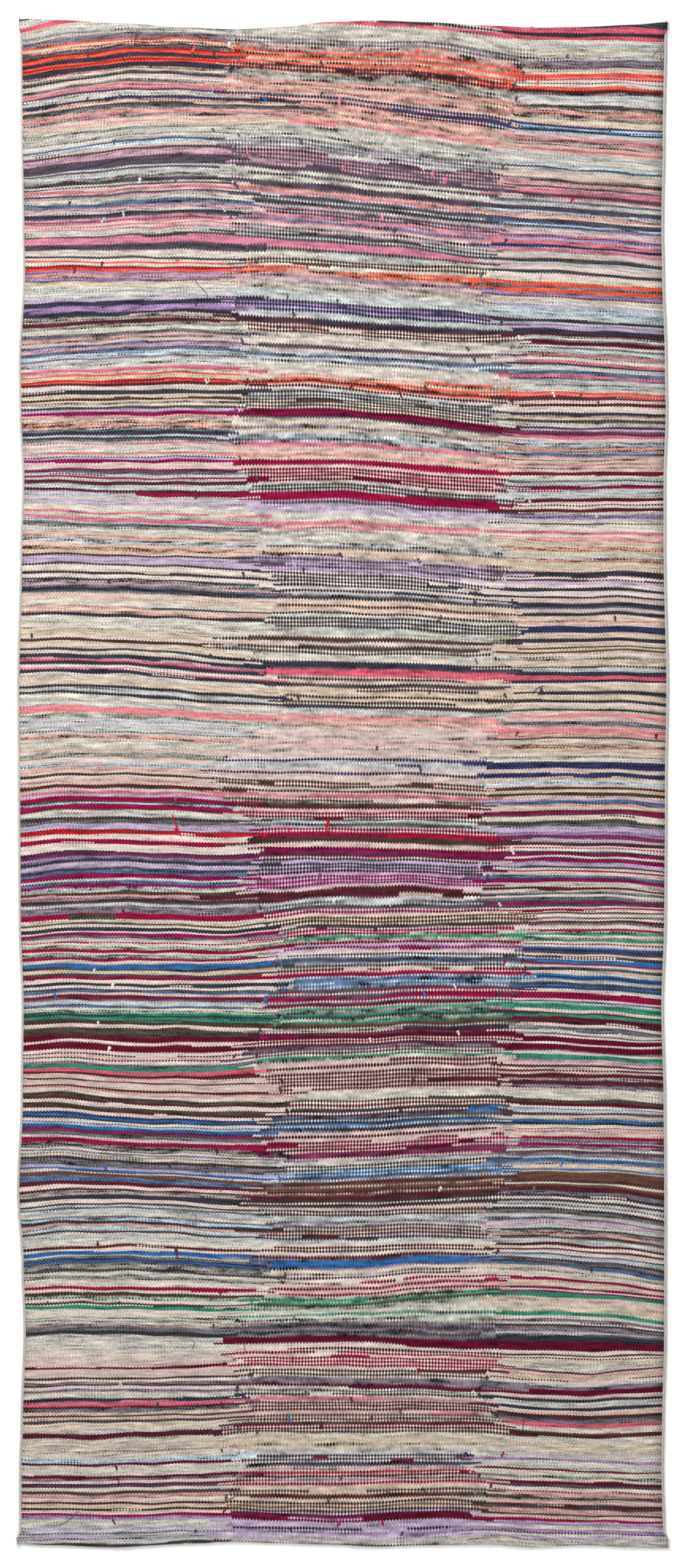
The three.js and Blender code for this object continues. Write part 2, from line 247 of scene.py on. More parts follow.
# The wefts of each side in weaving order, each with the down where it begins. They were
# read along the line at READ_ACROSS on that side, and some were then changed.
READ_ACROSS = 300
LEFT_WEFTS = """
sage -12 raspberry -6 ecru 3 sage 8 drab 14 sage 17 plumgrey 20 orange 29 rust 32 charcoal 37 orange 43
ink 49 orange 55 ink 61 rust 68 drab 71 blush 79 drab 84 salmon 90 navy 98 sage 101 navy 108 rust 113
drab 118 salmon 126 drab 132 blush 138 coral 141 blush 144 sage 147 drab 151 sage 154 drab 161 mist 164
plum 170 sky 173 peach 177 plum 180 mauve 184 plum 193 mauve 197 plum 202 mist 206 plum 209 sage 212
drab 217 plum 223 sage 228 plum 231 rose 234 sage 240 plum 242 sage 248 denim 254 mauve 260 sage 266
ink 269 mauve 273 plum 279 rose 281 blush 287 rose 290 mist 293 charcoal 299 pink 303 plum 312 ecru 322
charcoal 332 cream 336 orange 339 cream 342 charcoal 344 orange 346 purple 352 salmon 356 rust 359
lilac 362 sand 367 ecru 373 mist 376 ecru 381 mist 384 lilac 390 ink 394 purple 401 ink 407 taupe 413
maroon 419 drab 425 ecru 430 mist 436 salmon 441 blush 447 denim 450 mauve 454 denim 459 mist 464
plumgrey 470 sage 476 ecru 481 pink 485 sage 491 orange 494 sand 497 orange 502 maroon 507 cream 512
ink 517 sand 523 brown 528 taupe 532 cream 538 olive 540 lilac 543 magenta 546 salmon 552 sage 556
rust 560 bluegrey 569 ink 578 bluegrey 580 sage 588 rose 590 ecru 593 rose 603 cream 609 plum 610
lilac 612 magenta 614 blush 618 magenta 626 mist 632 crimson 638 mist 641 maroon 644 mist 651 maroon 656
lilac 660 ecru 665 lilac 671 ecru 678 blush 685 rose 687 ecru 690 rose 694 mist 701 drab 708 mist 711
peach 716 bluegrey 726 peach 731 rust 736 sand 741 brown 746 lilac 749 charcoal 758 cream 762 ink 769
cream 774 ink 779 drab 783 mauve 786 slate 789 ink 791 slate 796 blush 799 peach 804 ecru 812 peach 818
ink 829 ecru 834 sage 841 ecru 843 sage 848 sand 851 brown 863 sand 868 ink 876 sand 880 ink 884 rose 890
ink 895 cream 900 rose 903 ink 906 ecru 911 peach 917 sand 923 ink 928 sage 932 ink 938 ecru 943 mist 951
coral 958 sage 966 taupe 969 sky 973 blush 980 mist 983 blush 993 rust 996 sage 1001 ecru 1008 blush 1012
sage 1017 drab 1024 blush 1027 sky 1034 blush 1039 brown 1048 blush 1052 brown 1064 blush 1069 rose 1073
lilac 1078 magenta 1081 olive 1087 sky 1090 crimson 1092 olive 1099 ecru 1101 mist 1104 brown 1109
slate 1113 lilac 1119 brown 1127 scarlet 1129 cream 1135 crimson 1140 cream 1147 ink 1156 magenta 1159
lilac 1163 ink 1167 lilac 1171 ink 1180 denim 1184 magenta 1188 ecru 1194 denim 1197 magenta 1202
sage 1207 brown 1213 salmon 1217 plumgrey 1220 maroon 1223 charcoal 1227 mist 1230 plumgrey 1233
crimson 1242 sand 1251 olive 1257 cream 1260 ink 1263 cream 1268 magenta 1270 slate 1275 cream 1279
crimson 1283 cream 1285 moss 1288 crimson 1293 cream 1298 moss 1300 magenta 1305 cream 1309 blue 1313
charcoal 1320 sand 1323 charcoal 1327 crimson 1331 cream 1336 ink 1340 cream 1345 charcoal 1348 denim 1351
blush 1355 crimson 1358 denim 1363 mist 1366 denim 1371 cream 1375 moss 1377 green 1381 ink 1384
green 1387 brown 1392 cream 1398 olive 1404 brown 1409 wine 1416 cream 1424 wine 1428 cream 1438 wine 1442
blush 1444 wine 1447 cream 1450 slate 1453 green 1457 raspberry 1463 maroon 1468 blush 1472 maroon 1477
blush 1480 maroon 1488 blush 1491 olive 1500 maroon 1505 cream 1509 olive 1513 maroon 1519 cream 1522
blue 1526 ink 1532 cream 1535 blue 1538 mist 1541 blue 1543 ink 1547 magenta 1549 slate 1554 blush 1557
magenta 1560 tweed 1567 drab 1571 cream 1575 plumgrey 1577 sand 1583 black 1586 slate 1590 lilac 1597
blue 1600 cream 1604 umber 1606 denim 1611 maroon 1616 cream 1622 maroon 1626 taupe 1629 ink 1634
cream 1640 black 1644 plumgrey 1647 mist 1652 ecru 1660 plumgrey 1663 sky 1666 black 1670 salmon 1674
sky 1678 black 1683 mist 1686 ecru 1692 maroon 1703 cream 1707 blue 1710 plumgrey 1716 blue 1721
slate 1727 drab 1731 charcoal 1737 ecru 1741 drab 1746 ecru 1752 crimson 1761 cream 1766 brown 1770
moss 1775 cream 1780 brown 1784 cream 1787 green 1789 cream 1794 moss 1804 ecru 1806 drab 1808 ecru 1811
taupe 1813 plumgrey 1817 black 1823 ecru 1829 blush 1860 wine 1872 blush 1877 brown 1887 cream 1891
plumgrey 1893 maroon 1897 cream 1900 plumgrey 1904 ecru 1908 ink 1916 rose 1922 maroon 1927 slate 1931
sand 1935 maroon 1939 blush 1943 olive 1946 sand 1950 mist 1960 maroon 1964 ecru 1971 sand 1984 ecru 1994
sky 2001 wine 2006 ecru 2011 wine 2024 plumgrey 2028 cream 2031 wine 2034 plum 2037 cream 2041
charcoal 2045 salmon 2050 cream 2055 maroon 2060 sand 2064 maroon 2069 cream 2073 crimson 2077 lilac 2082
ecru 2087 lilac 2096 black 2102 lilac 2104 sage 2110 olive 2117
"""
RIGHT_WEFTS = """
charcoal -12 raspberry 13 black 20 raspberry 26 ecru 31 sage 40 ecru 46 sage 52 plumgrey 59 cream 71
orange 77 cream 87 plum 90 cream 93 orange 96 maroon 100 tweed 104 ecru 110 drab 121 rust 128 drab 136
peach 141 navy 147 sky 150 navy 154 mist 157 blush 160 salmon 164 drab 169 peach 176 salmon 180 blush 184
mist 189 ecru 195 mist 200 plum 207 sage 210 peach 215 plum 222 salmon 228 plum 234 rose 239 plum 243
mauve 249 mist 255 plum 262 sky 268 salmon 271 cream 277 plum 279 sky 284 plum 290 mist 295 rose 298
navy 303 lilac 305 rose 309 navy 315 rose 319 mist 325 blush 329 charcoal 333 mist 338 blush 342 cream 345
charcoal 349 cream 354 orange 366 plumgrey 372 orange 376 purple 382 sand 388 ecru 392 lilac 397 mist 400
sky 409 mist 413 ink 418 mist 422 purple 424 lilac 427 ink 431 maroon 438 drab 442 maroon 449 drab 454
mist 459 drab 463 salmon 467 cream 472 rose 475 ink 479 mist 482 denim 488 rose 494 plumgrey 497 mist 503
drab 507 mist 510 orange 518 brown 525 blush 529 maroon 534 cream 538 ink 546 sand 552 olive 557 mist 562
maroon 568 lilac 571 magenta 574 salmon 580 cream 584 bluegrey 588 drab 594 rust 599 denim 604 peach 609
rose 619 sand 624 crimson 629 ecru 635 mist 641 crimson 649 mist 655 maroon 667 cream 672 maroon 675
cream 677 crimson 680 sage 685 purple 689 ecru 695 plum 701 cream 703 rose 711 cream 716 coral 720
salmon 722 sand 726 rust 733 sand 740 mist 745 rust 749 sand 757 brown 768 purple 771 cream 776 brown 779
lilac 782 cream 787 ink 791 cream 796 ink 802 blush 806 ink 812 slate 818 blush 821 ink 825 peach 830
rust 835 peach 838 navy 844 sand 853 ink 860 sand 866 brown 872 sand 875 brown 878 sand 881 drab 888
sand 891 ink 898 mist 902 ink 907 raspberry 912 ink 918 cream 922 peach 926 sand 930 ink 934 sand 939
ink 946 sand 950 ink 958 sand 962 coral 965 blush 971 slate 975 rose 981 coral 985 salmon 991 drab 998
sand 1003 rust 1009 sand 1014 drab 1024 cream 1027 navy 1031 blush 1042 navy 1047 blush 1052 sky 1058
blush 1062 brown 1065 peach 1069 brown 1073 blush 1078 sky 1083 salmon 1091 sand 1096 crimson 1099
olive 1105 cream 1107 olive 1114 slate 1118 lilac 1122 purple 1129 magenta 1133 lilac 1139 brown 1142
cream 1147 crimson 1150 cream 1152 ink 1155 magenta 1158 cream 1162 ink 1164 magenta 1167 lilac 1171
ink 1175 cream 1179 crimson 1181 cream 1184 denim 1188 magenta 1193 ecru 1199 maroon 1205 sage 1208
slate 1213 cream 1216 slate 1219 magenta 1224 plum 1230 cream 1233 crimson 1235 cream 1238 brown 1241
cream 1244 slate 1248 cream 1251 wine 1253 slate 1257 cream 1260 crimson 1263 moss 1267 cream 1272
drab 1275 green 1278 cream 1281 crimson 1283 cream 1286 blue 1288 plum 1294 cream 1298 charcoal 1300
cream 1304 blue 1305 magenta 1310 cream 1313 charcoal 1316 sand 1322 blue 1327 mist 1334 charcoal 1337
blue 1341 cream 1347 crimson 1351 cream 1360 denim 1362 mist 1366 green 1368 cream 1374 maroon 1378
green 1381 maroon 1386 cream 1395 slate 1398 cream 1405 slate 1408 cream 1411 wine 1413 cream 1420
wine 1423 plumgrey 1432 cream 1434 green 1437 mauve 1446 blush 1450 maroon 1453 blush 1456 maroon 1459
blush 1462 maroon 1465 drab 1471 maroon 1475 plumgrey 1481 plumgrey 1483 ecru 1486 olive 1501 maroon 1506
cream 1510 blue 1513 mist 1515 plum 1518 sand 1522 blue 1527 black 1532 cream 1535 magenta 1539 blush 1541
crimson 1550 plumgrey 1555 magenta 1560 plumgrey 1565 cream 1569 plum 1571 plumgrey 1575 mist 1580
blue 1582 sand 1587 blue 1594 sand 1598 umber 1600 cream 1615 umber 1617 maroon 1621 slate 1627 ink 1632
cream 1636 black 1639 mist 1642 slate 1645 cream 1648 black 1651 plumgrey 1654 blush 1659 mist 1662
lilac 1668 salmon 1671 mist 1674 black 1679 salmon 1682 black 1688 mist 1691 maroon 1699 cream 1704
maroon 1707 cream 1710 denim 1714 mist 1717 plum 1720 slate 1724 blue 1729 sand 1732 drab 1737 ecru 1741
crimson 1748 sand 1753 magenta 1760 cream 1763 magenta 1765 green 1768 blush 1775 sand 1784 green 1795
cream 1800 plumgrey 1805 cream 1809 black 1812 plumgrey 1815 slate 1822 ink 1828 wine 1836 cream 1850
maroon 1854 cream 1858 maroon 1860 ecru 1862 maroon 1877 blush 1880 brown 1890 cream 1893 plumgrey 1896
maroon 1904 cream 1912 ink 1917 ecru 1921 ink 1927 sand 1932 maroon 1938 slate 1943 raspberry 1950
ecru 1956 maroon 1963 ecru 1969 sand 1980 ecru 1990 purple 1999 ecru 2003 wine 2013 ecru 2017 drab 2023
ecru 2027 wine 2031 plum 2036 cream 2040 maroon 2044 salmon 2046 charcoal 2053 salmon 2056 maroon 2062
charcoal 2066 salmon 2070 brown 2076 blush 2079 crimson 2082 lilac 2087 ecru 2092 purple 2098 black 2102
ecru 2104 lilac 2108 sage 2113
"""

# Where the short legs of the left wefts stop and the long legs of the right ones begin,
# as pairs of down and across, and the same for the other side.
LEFT_TURNS = """
0 -150 40 -150 100 -170 125 -20 165 -165 205 -155 230 -155 255 -110 285 -160 310 -130 345 -140 400 -150
430 -138 470 -125 505 -135 545 -150 575 -160 610 -145 640 -135 670 -135 700 -110 745 -125 785 -85 835 -105
865 -195 895 -110 920 -95 955 -80 1040 -190 1065 -175 1100 -140 1125 -110 1145 -150 1165 -110 1190 -120
1225 -120 1250 -105 1275 -75 1300 -95 1335 -90 1365 -115 1390 -85 1410 -115 1440 -125 1470 -110 1490 -80
1520 -80 1545 -115 1575 -100 1600 -80 1620 -100 1640 -150 1665 -90 1690 -110 1725 -120 1750 -88 1785 -120
1800 -150 1840 -150 1880 -145 1910 -140 1940 -120 1960 -175 2000 -140 2050 -160 2080 -155 2120 -190
"""
RIGHT_TURNS = """
0 180 45 280 80 240 110 240 150 232 180 205 208 222 240 225 262 190 290 222 320 200 345 215 365 190
410 200 440 245 480 225 520 240 540 215 575 215 620 240 650 225 680 250 710 200 760 235 795 190 815 240
855 245 880 205 905 245 920 220 945 240 965 230 1040 195 1080 200 1105 190 1120 205 1145 225 1165 225
1200 195 1225 190 1250 260 1280 250 1320 255 1350 235 1385 240 1415 240 1440 215 1475 215 1505 235
1530 215 1550 230 1590 220 1630 230 1655 185 1690 210 1710 200 1760 220 1800 210 1830 212 1865 225
1885 190 1915 195 1945 220 1965 240 2000 160 2030 200 2055 200 2080 180 2120 150
"""

# Stretches of the middle: the ground yarn, where the stretch begins and ends, then the
# other rows' yarns and downs. The rows were read along the centre line, and some were then
# changed to bring the shade of their part of the runner closer.
MIDDLE_ROWS = """
sage 20 41 plumgrey 30 plumgrey 35 charcoal 40;
rust 41 78 mauve 43 orange 49 taupe 54 orange 57 sand 60 orange 65 maroon 70 maroon 75 charcoal 78;
drab 80 90 sage 86;
salmon 90 148 rust 93 sand 98 rust 103 sage 108 navy 111 rust 115 navy 118 rust 124 sand 129 rust 135
  sand 140 coral 146;
sage 150 176 drab 156 mist 163 drab 169;
plumgrey 176 191 mist 178 mist 183 mist 188;
mauve 191 218 maroon 192 plum 197 plum 202 plum 207 plum 212 plum 216;
sage 218 235 plum 224;
plum 235 241;
salmon 241 250 rose 247;
mist 250 268 plum 251 plum 255 charcoal 259 charcoal 263 plumgrey 267;
mauve 268 290 plum 271 plum 276 rose 280 denim 284 rose 288;
blush 290 303 plumgrey 294 plumgrey 299;
mist 303 315 charcoal 304 charcoal 309 charcoal 314;
pink 315 323;
sage 323 337 charcoal 324;
ecru 337 348 brown 338 brown 343;
rust 348 360 orange 350 orange 355 salmon 358;
mauve 359 372 plumgrey 362 sage 367;
sage 372 381 taupe 376;
mist 381 395;
purple 395 412 ink 396 navy 401 lilac 404 navy 407;
mist 411 420;
ecru 420 440 ink 421 ink 423 maroon 427 maroon 433 maroon 438;
sage 440 455 blush 446 ecru 451;
blush 455 465 plum 456 plum 460 ink 464;
mist 465 480 slate 469 denim 472 plumgrey 478;
ecru 480 497 blush 489;
rust 497 511 peach 499 orange 502 maroon 506 orange 509;
ecru 511 517 maroon 512;
mist 517 532 black 519 olive 524 black 529 olive 531;
ecru 532 542 brown 534 brown 538;
wine 542 552 magenta 547;
sage 552 576 plum 553 peach 560 plumgrey 566 peach 571;
mist 576 590 bluegrey 579 slate 583 bluegrey 587;
rose 590 595;
peach 600 614 salmon 602 salmon 606;
crimson 614 621;
blush 621 643 wine 625 crimson 630 wine 634 wine 639;
mist 643 658 brown 646 black 651 maroon 655;
crimson 658 668;
lilac 668 686 plum 671 mist 677;
ecru 686 709 rose 699 coral 702 rose 705;
sage 709 736 bluegrey 729 slate 733;
peach 736 749 taupe 748;
lilac 749 769 plum 752 plumgrey 757 plum 762 purple 766;
cream 769 796 ink 771 ink 776 ink 782 ink 787 ink 793;
mist 796 810 blush 797 slate 800 ink 804 plumgrey 807;
peach 807 824 brown 815;
ecru 824 846 ink 832 ink 837 ink 842;
sage 846 858;
ecru 858 869;
blush 869 878 brown 876;
ecru 878 898 charcoal 881 ink 893;
plum 898 907 ink 899 raspberry 903;
raspberry 907 914;
peach 914 937 ink 917 ink 925 charcoal 927;
sand 937 961 brown 941 ink 948 ink 953 ink 957;
mist 961 967;
salmon 967 982 coral 970 peach 976;
blush 982 1026 taupe 996 salmon 1003 taupe 1012 mist 986;
mist 1026 1040 navy 1028;
blush 1040 1084 navy 1048 brown 1060 brown 1066 brown 1073 rose 1077 rose 1080;
olive 1084 1094 taupe 1088;
blush 1094 1110 wine 1096 crimson 1101 crimson 1103 wine 1107;
mist 1110 1124 olive 1112 olive 1118 slate 1121;
crimson 1124 1133 blush 1128;
brown 1137 1142;
blush 1143 1154 wine 1150;
magenta 1154 1158;
ink 1158 1170 blush 1160 blush 1164 magenta 1162 lilac 1168;
lilac 1170 1202 ink 1173 ink 1177 wine 1183 magenta 1188 magenta 1193 magenta 1198;
blush 1202 1209 maroon 1204;
maroon 1209 1219;
mist 1219 1230 slate 1224 charcoal 1229;
plum 1230 1237;
blush 1237 1245 magenta 1240 maroon 1243;
sand 1245 1262 brown 1247 brown 1251 black 1256 charcoal 1260;
blush 1262 1271 magenta 1264 magenta 1268;
moss 1271 1284 green 1273 salmon 1278 wine 1282;
lilac 1284 1294 magenta 1287 wine 1292;
cream 1294 1304 charcoal 1297;
denim 1304 1312 charcoal 1305;
mist 1312 1318 charcoal 1314;
blush 1318 1331 wine 1320 crimson 1325 crimson 1327;
sky 1331 1349 denim 1333 denim 1337 denim 1342 plum 1347;
blush 1349 1374 magenta 1351 plum 1354 magenta 1358 magenta 1361 plum 1367 wine 1370;
drab 1377 1389 green 1383 ink 1387;
moss 1389 1397 green 1393;
umber 1396 1402 brown 1399;
sage 1402 1408 drab 1405;
wine 1408 1425 plum 1409 blush 1416 blush 1420 blush 1424;
plum 1425 1439 plumgrey 1428 blush 1432 cream 1436;
green 1439 1445 moss 1441;
blush 1445 1489 maroon 1455 maroon 1464 maroon 1470 maroon 1475 maroon 1479 maroon 1486;
ecru 1489 1502;
cream 1502 1523 olive 1503 maroon 1508 brown 1513 ink 1517 maroon 1521;
mist 1523 1546 denim 1524 charcoal 1527 ink 1532 blue 1536 ink 1540 denim 1543;
blush 1546 1583 maroon 1552 wine 1558 magenta 1563 wine 1568 magenta 1573 plum 1576 magenta 1580;
plumgrey 1583 1590 mist 1586;
ecru 1590 1600 charcoal 1592 charcoal 1597;
sky 1600 1615 blue 1603 plum 1607 denim 1610 denim 1613;
umber 1615 1640 maroon 1617 taupe 1621 maroon 1628 taupe 1631 maroon 1635 maroon 1637;
black 1640 1650 cream 1645;
blush 1650 1662 brown 1654 black 1659;
mist 1662 1680 plumgrey 1669 plum 1677;
blush 1680 1690 brown 1683 maroon 1688;
mist 1690 1699 black 1693;
cream 1699 1721 maroon 1704 brown 1710 maroon 1717;
blue 1721 1738 plumgrey 1722 plumgrey 1734;
cream 1738 1761 taupe 1742 charcoal 1748;
blush 1761 1775 crimson 1763 crimson 1770;
moss 1775 1792 green 1778 green 1783 brown 1786;
ecru 1792 1810 green 1798 moss 1804;
plumgrey 1810 1829 charcoal 1815 charcoal 1820 slate 1825;
cream 1841 1886 maroon 1845 crimson 1851 crimson 1857 crimson 1863 crimson 1869 brown 1875 olive 1881;
ecru 1899 1913 plumgrey 1903 ink 1909;
blush 1913 1963 rose 1915 ink 1920 maroon 1925 maroon 1930 umber 1936 charcoal 1942 brown 1947 wine 1951
  maroon 1956 brown 1961;
ecru 1990 2010 navy 1993 plum 1998 navy 2003 plum 2008;
blush 2010 2040 taupe 2013 crimson 2018 wine 2023 plumgrey 2028 crimson 2033 umber 2038;
peach 2040 2074 olive 2044 brown 2049 maroon 2054 black 2060 umber 2066 black 2071;
lilac 2074 2112 maroon 2077 magenta 2081 wine 2086 ink 2096 purple 2101 mist 2107;
"""

# Bands laid in over both sides' wefts: yarn, from and to across, then the across where the
# band is read and the down of its two edges there.
INLAYS = """
charcoal -460 -430 at -445 0 6; navy -180 -30 at -100 104 107; navy 0 230 at 100 123 126;
navy 70 232 at 150 135 138; navy 75 225 at 150 142 145; raspberry 250 445 at 330 183 187;
plum -90 160 at 20 236 243; rose -150 120 at -50 243 246; pink -170 145 at 0 313 320;
mist -20 110 at 50 331 339; charcoal -60 110 at 0 303 305; crimson -285 95 at -100 658 665;
crimson 90 215 at 150 669 676; crimson -150 180 at 0 615 621; rose -285 -150 at -200 589 593;
rose -150 95 at 0 591 594; maroon -180 -40 at -100 416 418; maroon -130 230 at 0 437 439;
salmon -135 20 at -50 493 495; orange 115 210 at 160 508 512; brown -110 0 at -50 742 744;
ink -265 240 at -100 824 827; mist -50 110 at 20 849 856; brown -180 210 at 0 864 867;
plum -60 208 at 50 872 874; brown -130 250 at 0 859 861; ink -110 180 at 0 896 897;
navy 75 110 at 90 1037 1040; navy 70 110 at 90 1046 1049; brown 75 128 at 100 1063 1070;
blush 45 130 at 90 1084 1093; scarlet 65 170 at 110 1136 1140; lilac -100 -25 at -60 1120 1126;
ink 20 190 at 80 934 936; ink 120 188 at 150 1050 1052; maroon -198 -100 at -150 1217 1223;
peach 80 140 at 110 1213 1219; olive -380 -315 at -350 1244 1252; crimson 100 212 at 150 1351 1357;
maroon 65 215 at 120 1443 1446; maroon 38 215 at 120 1450 1453; maroon 145 215 at 180 1465 1468;
maroon 120 215 at 150 1472 1474; ink 85 232 at 150 1398 1402; black 120 238 at 180 1495 1498;
blue 175 215 at 190 1511 1516; magenta -115 -60 at -90 1411 1418; maroon 45 140 at 90 1630 1635;
black 5 50 at 25 1695 1697; drab -85 0 at -40 1755 1759; crimson 25 75 at 50 1753 1755;
crimson 80 250 at 150 1746 1748; maroon 38 170 at 100 1768 1772; wine -165 110 at 0 1829 1840;
wine 90 450 at 200 1837 1848; wine 105 232 at 150 1875 1877; plumgrey -140 260 at 0 1887 1897;
maroon -290 -180 at -240 1962 1969; rose -125 55 at 0 1912 1916; maroon 10 180 at 100 1902 1904;
rose 120 190 at 150 1935 1938; charcoal 112 228 at 170 2040 2044; charcoal 150 250 at 200 2050 2053;
crimson -40 -20 at -30 1997 2000; crimson 70 100 at 80 2001 2005; wine 30 170 at 90 2077 2082;
lilac 130 200 at 160 2083 2089; green -145 -110 at -125 1779 1783; salmon -300 -165 at -240 2048 2054;
"""

# The knots and tucked yarn ends that stand on the face: yarn, across, down and length.
KNOTS = """
plum -287 26 12; charcoal -355 50 13; orange -208 43 12; charcoal -209 50 9; ink -268 65 9;
charcoal -296 52 7; cream -158 37 9; orange -147 39 7; ink -180 48 8; ink -30 62 11; plum 25 42 8;
orange 103 47 9; orange 35 60 7; maroon -75 67 10; black 65 74 8; ink 207 90 9; orange 230 93 14;
ink 238 93 11; ink 250 75 6; olive 311 53 6; raspberry 262 14 7; navy -355 112 7; blue -310 108 7;
blue -265 109 6; blue -108 112 9; navy -30 105 8; coral -5 115 14; charcoal 241 112 9; orange 270 90 7;
navy 232 146 15; coral -145 140 6; coral -305 144 8; plum -145 162 6; plum -318 172 8; plum -58 172 9;
peach 20 193 13; sand 38 193 9; raspberry 2 205 13; peach 112 208 9; plum 108 192 9; black -150 178 12;
rose -133 185 9; rose 125 215 11; raspberry 142 225 11; plum 222 207 7; plum 205 215 9; cream -282 225 9;
plum -233 225 10; charcoal -148 232 13; olive -10 155 7; olive -180 155 6; navy 370 155 7;
scarlet 318 252 11; navy -380 257 8; mist -305 272 11; sky -333 280 9; mist -165 266 7; rose -18 265 9;
coral 55 276 9; navy 72 294 11; plum 88 283 9; plum -156 275 10; plum -133 320 9; charcoal -120 338 7;
orange -130 341 12; black -335 341 8; maroon -373 350 11; orange -230 337 7; plum -50 345 8;
slate 192 358 15; plum 155 338 7; navy 225 310 10; orange 180 372 12; ink -205 395 12; ink -148 394 12;
ink -105 389 8; ink -77 387 7; ink -8 393 9; ink -68 411 9; maroon 45 428 9; maroon -90 429 7;
maroon -68 432 8; cream 245 443 8; navy 220 423 9; navy -140 448 11; brown 173 459 8; navy 183 475 8;
maroon -134 505 15; orange -355 496 7; maroon 12 510 9; maroon 80 521 13; maroon 115 513 9;
maroon 235 532 13; magenta -148 544 15; cream -190 503 7; brown 165 540 9; orange 229 514 8;
cream 293 522 9; charcoal 330 524 7; charcoal 355 534 7; rose 110 605 11; crimson -143 612 12;
rose -75 610 9; maroon -205 661 16; plum -120 638 8; maroon 32 650 7; maroon 115 655 7; mist 260 672 9;
maroon 235 675 11; mist 352 690 8; brown -3 745 9; brown -110 741 6; plum 105 753 10; lilac -68 757 13;
ink -55 766 9; ink -138 772 9; ink -80 778 8; ink 52 774 8; ink -325 782 7; ink 185 799 9; ink 235 808 6;
navy 183 812 9; mist 225 778 11; sky 195 788 9; brown 135 833 13; brown 378 833 9; brown -432 857 8;
ink -183 886 9; ink -98 900 11; ink -108 909 7; plumgrey -123 880 7; plumgrey 185 892 12; ink -62 943 8;
ink 120 935 9; ink 225 940 8; ink 275 933 11; coral -133 970 10; coral -12 966 8; navy 107 1043 12;
rose -340 1041 9; wine 242 993 8; wine 435 997 9; wine 47 1013 8; scarlet -232 1126 14;
scarlet -22 1120 16; scarlet -108 1134 10; scarlet -75 1127 8; slate -232 1083 8; brown -82 1090 10;
navy 200 1193 13; blue -32 1190 9; plum -168 1190 9; cream 235 1155 14; maroon 225 1140 7;
lilac 190 1175 12; wine -305 1240 9; brown -105 1258 9; ink 45 1265 8; green -48 1282 9; green 130 1275 8;
cream -12 1225 9; cream 218 1230 7; mist 65 1230 7; denim -85 1313 13; blue 130 1305 9;
magenta 225 1308 9; wine 253 1320 12; blue 252 1328 7; cream -345 1322 8; cream -320 1343 10;
blue -400 1355 11; blue -108 1362 13; blue -83 1347 11; blue 113 1353 10; cream 155 1343 8;
wine 213 1353 11; green 240 1367 6; green -93 1395 11; green -85 1388 8; ink -430 1383 7;
cream -340 1395 8; cream -325 1431 10; brown -115 1403 9; wine 75 1428 10; cream 38 1418 8;
cream 160 1408 8; wine -150 1440 8; wine -120 1440 8; mist 385 1412 8; green -28 1443 8;
maroon -85 1475 11; maroon -87 1488 11; maroon 97 1474 13; maroon 217 1478 12; maroon 220 1452 9;
black -250 1505 13; maroon -78 1517 9; black 80 1515 15; black 60 1525 8; blue -125 1529 8;
blue -55 1543 8; blue 178 1513 8; maroon 222 1517 8; blue -330 1595 9; ink -195 1640 12;
maroon -110 1625 9; navy -240 1592 9; blue -88 1610 11; blue 305 1588 15; slate 265 1625 11;
cream 135 1625 9; slate 160 1640 9; wine -175 1572 10; maroon -340 1702 14; maroon -232 1711 15;
charcoal -80 1745 12; drab -112 1740 7; brown -170 1770 8; green -128 1780 9; green -68 1803 8;
brown -410 1783 6; black 163 1683 10; maroon 215 1712 9; navy 345 1738 8; wine -70 1860 8;
wine 105 1877 8; black -146 1900 16; wine -165 1868 8; charcoal -180 1815 8; green -85 1809 8;
raspberry -120 1917 7; ink 12 1917 9; ink -52 1908 8; ink 190 1912 10; brown 200 1887 9; mist -308 1895 8;
wine -168 1925 11; ink -258 1925 11; blue -75 1943 11; maroon 40 1943 8; wine -30 1954 11;
plum -145 1957 8; maroon -185 1963 11; plum -118 1962 8; plum -168 1988 7; cream -140 1990 9;
plum 80 1935 12; navy 170 1993 8; magenta 222 1993 9; wine -315 2011 11; plum -2 2025 12; wine 190 2022 8;
wine 205 2037 8; wine 95 2002 9; charcoal -162 2053 11; charcoal 62 2047 11; charcoal 113 2043 11;
charcoal -20 2057 12; crimson -165 2072 8; wine -318 2087 9; crimson -5 2089 12; crimson 55 2088 11;
black 82 2103 8; black -72 2098 8; black -205 2100 6; purple 142 2098 9; black -315 2120 5;
"""

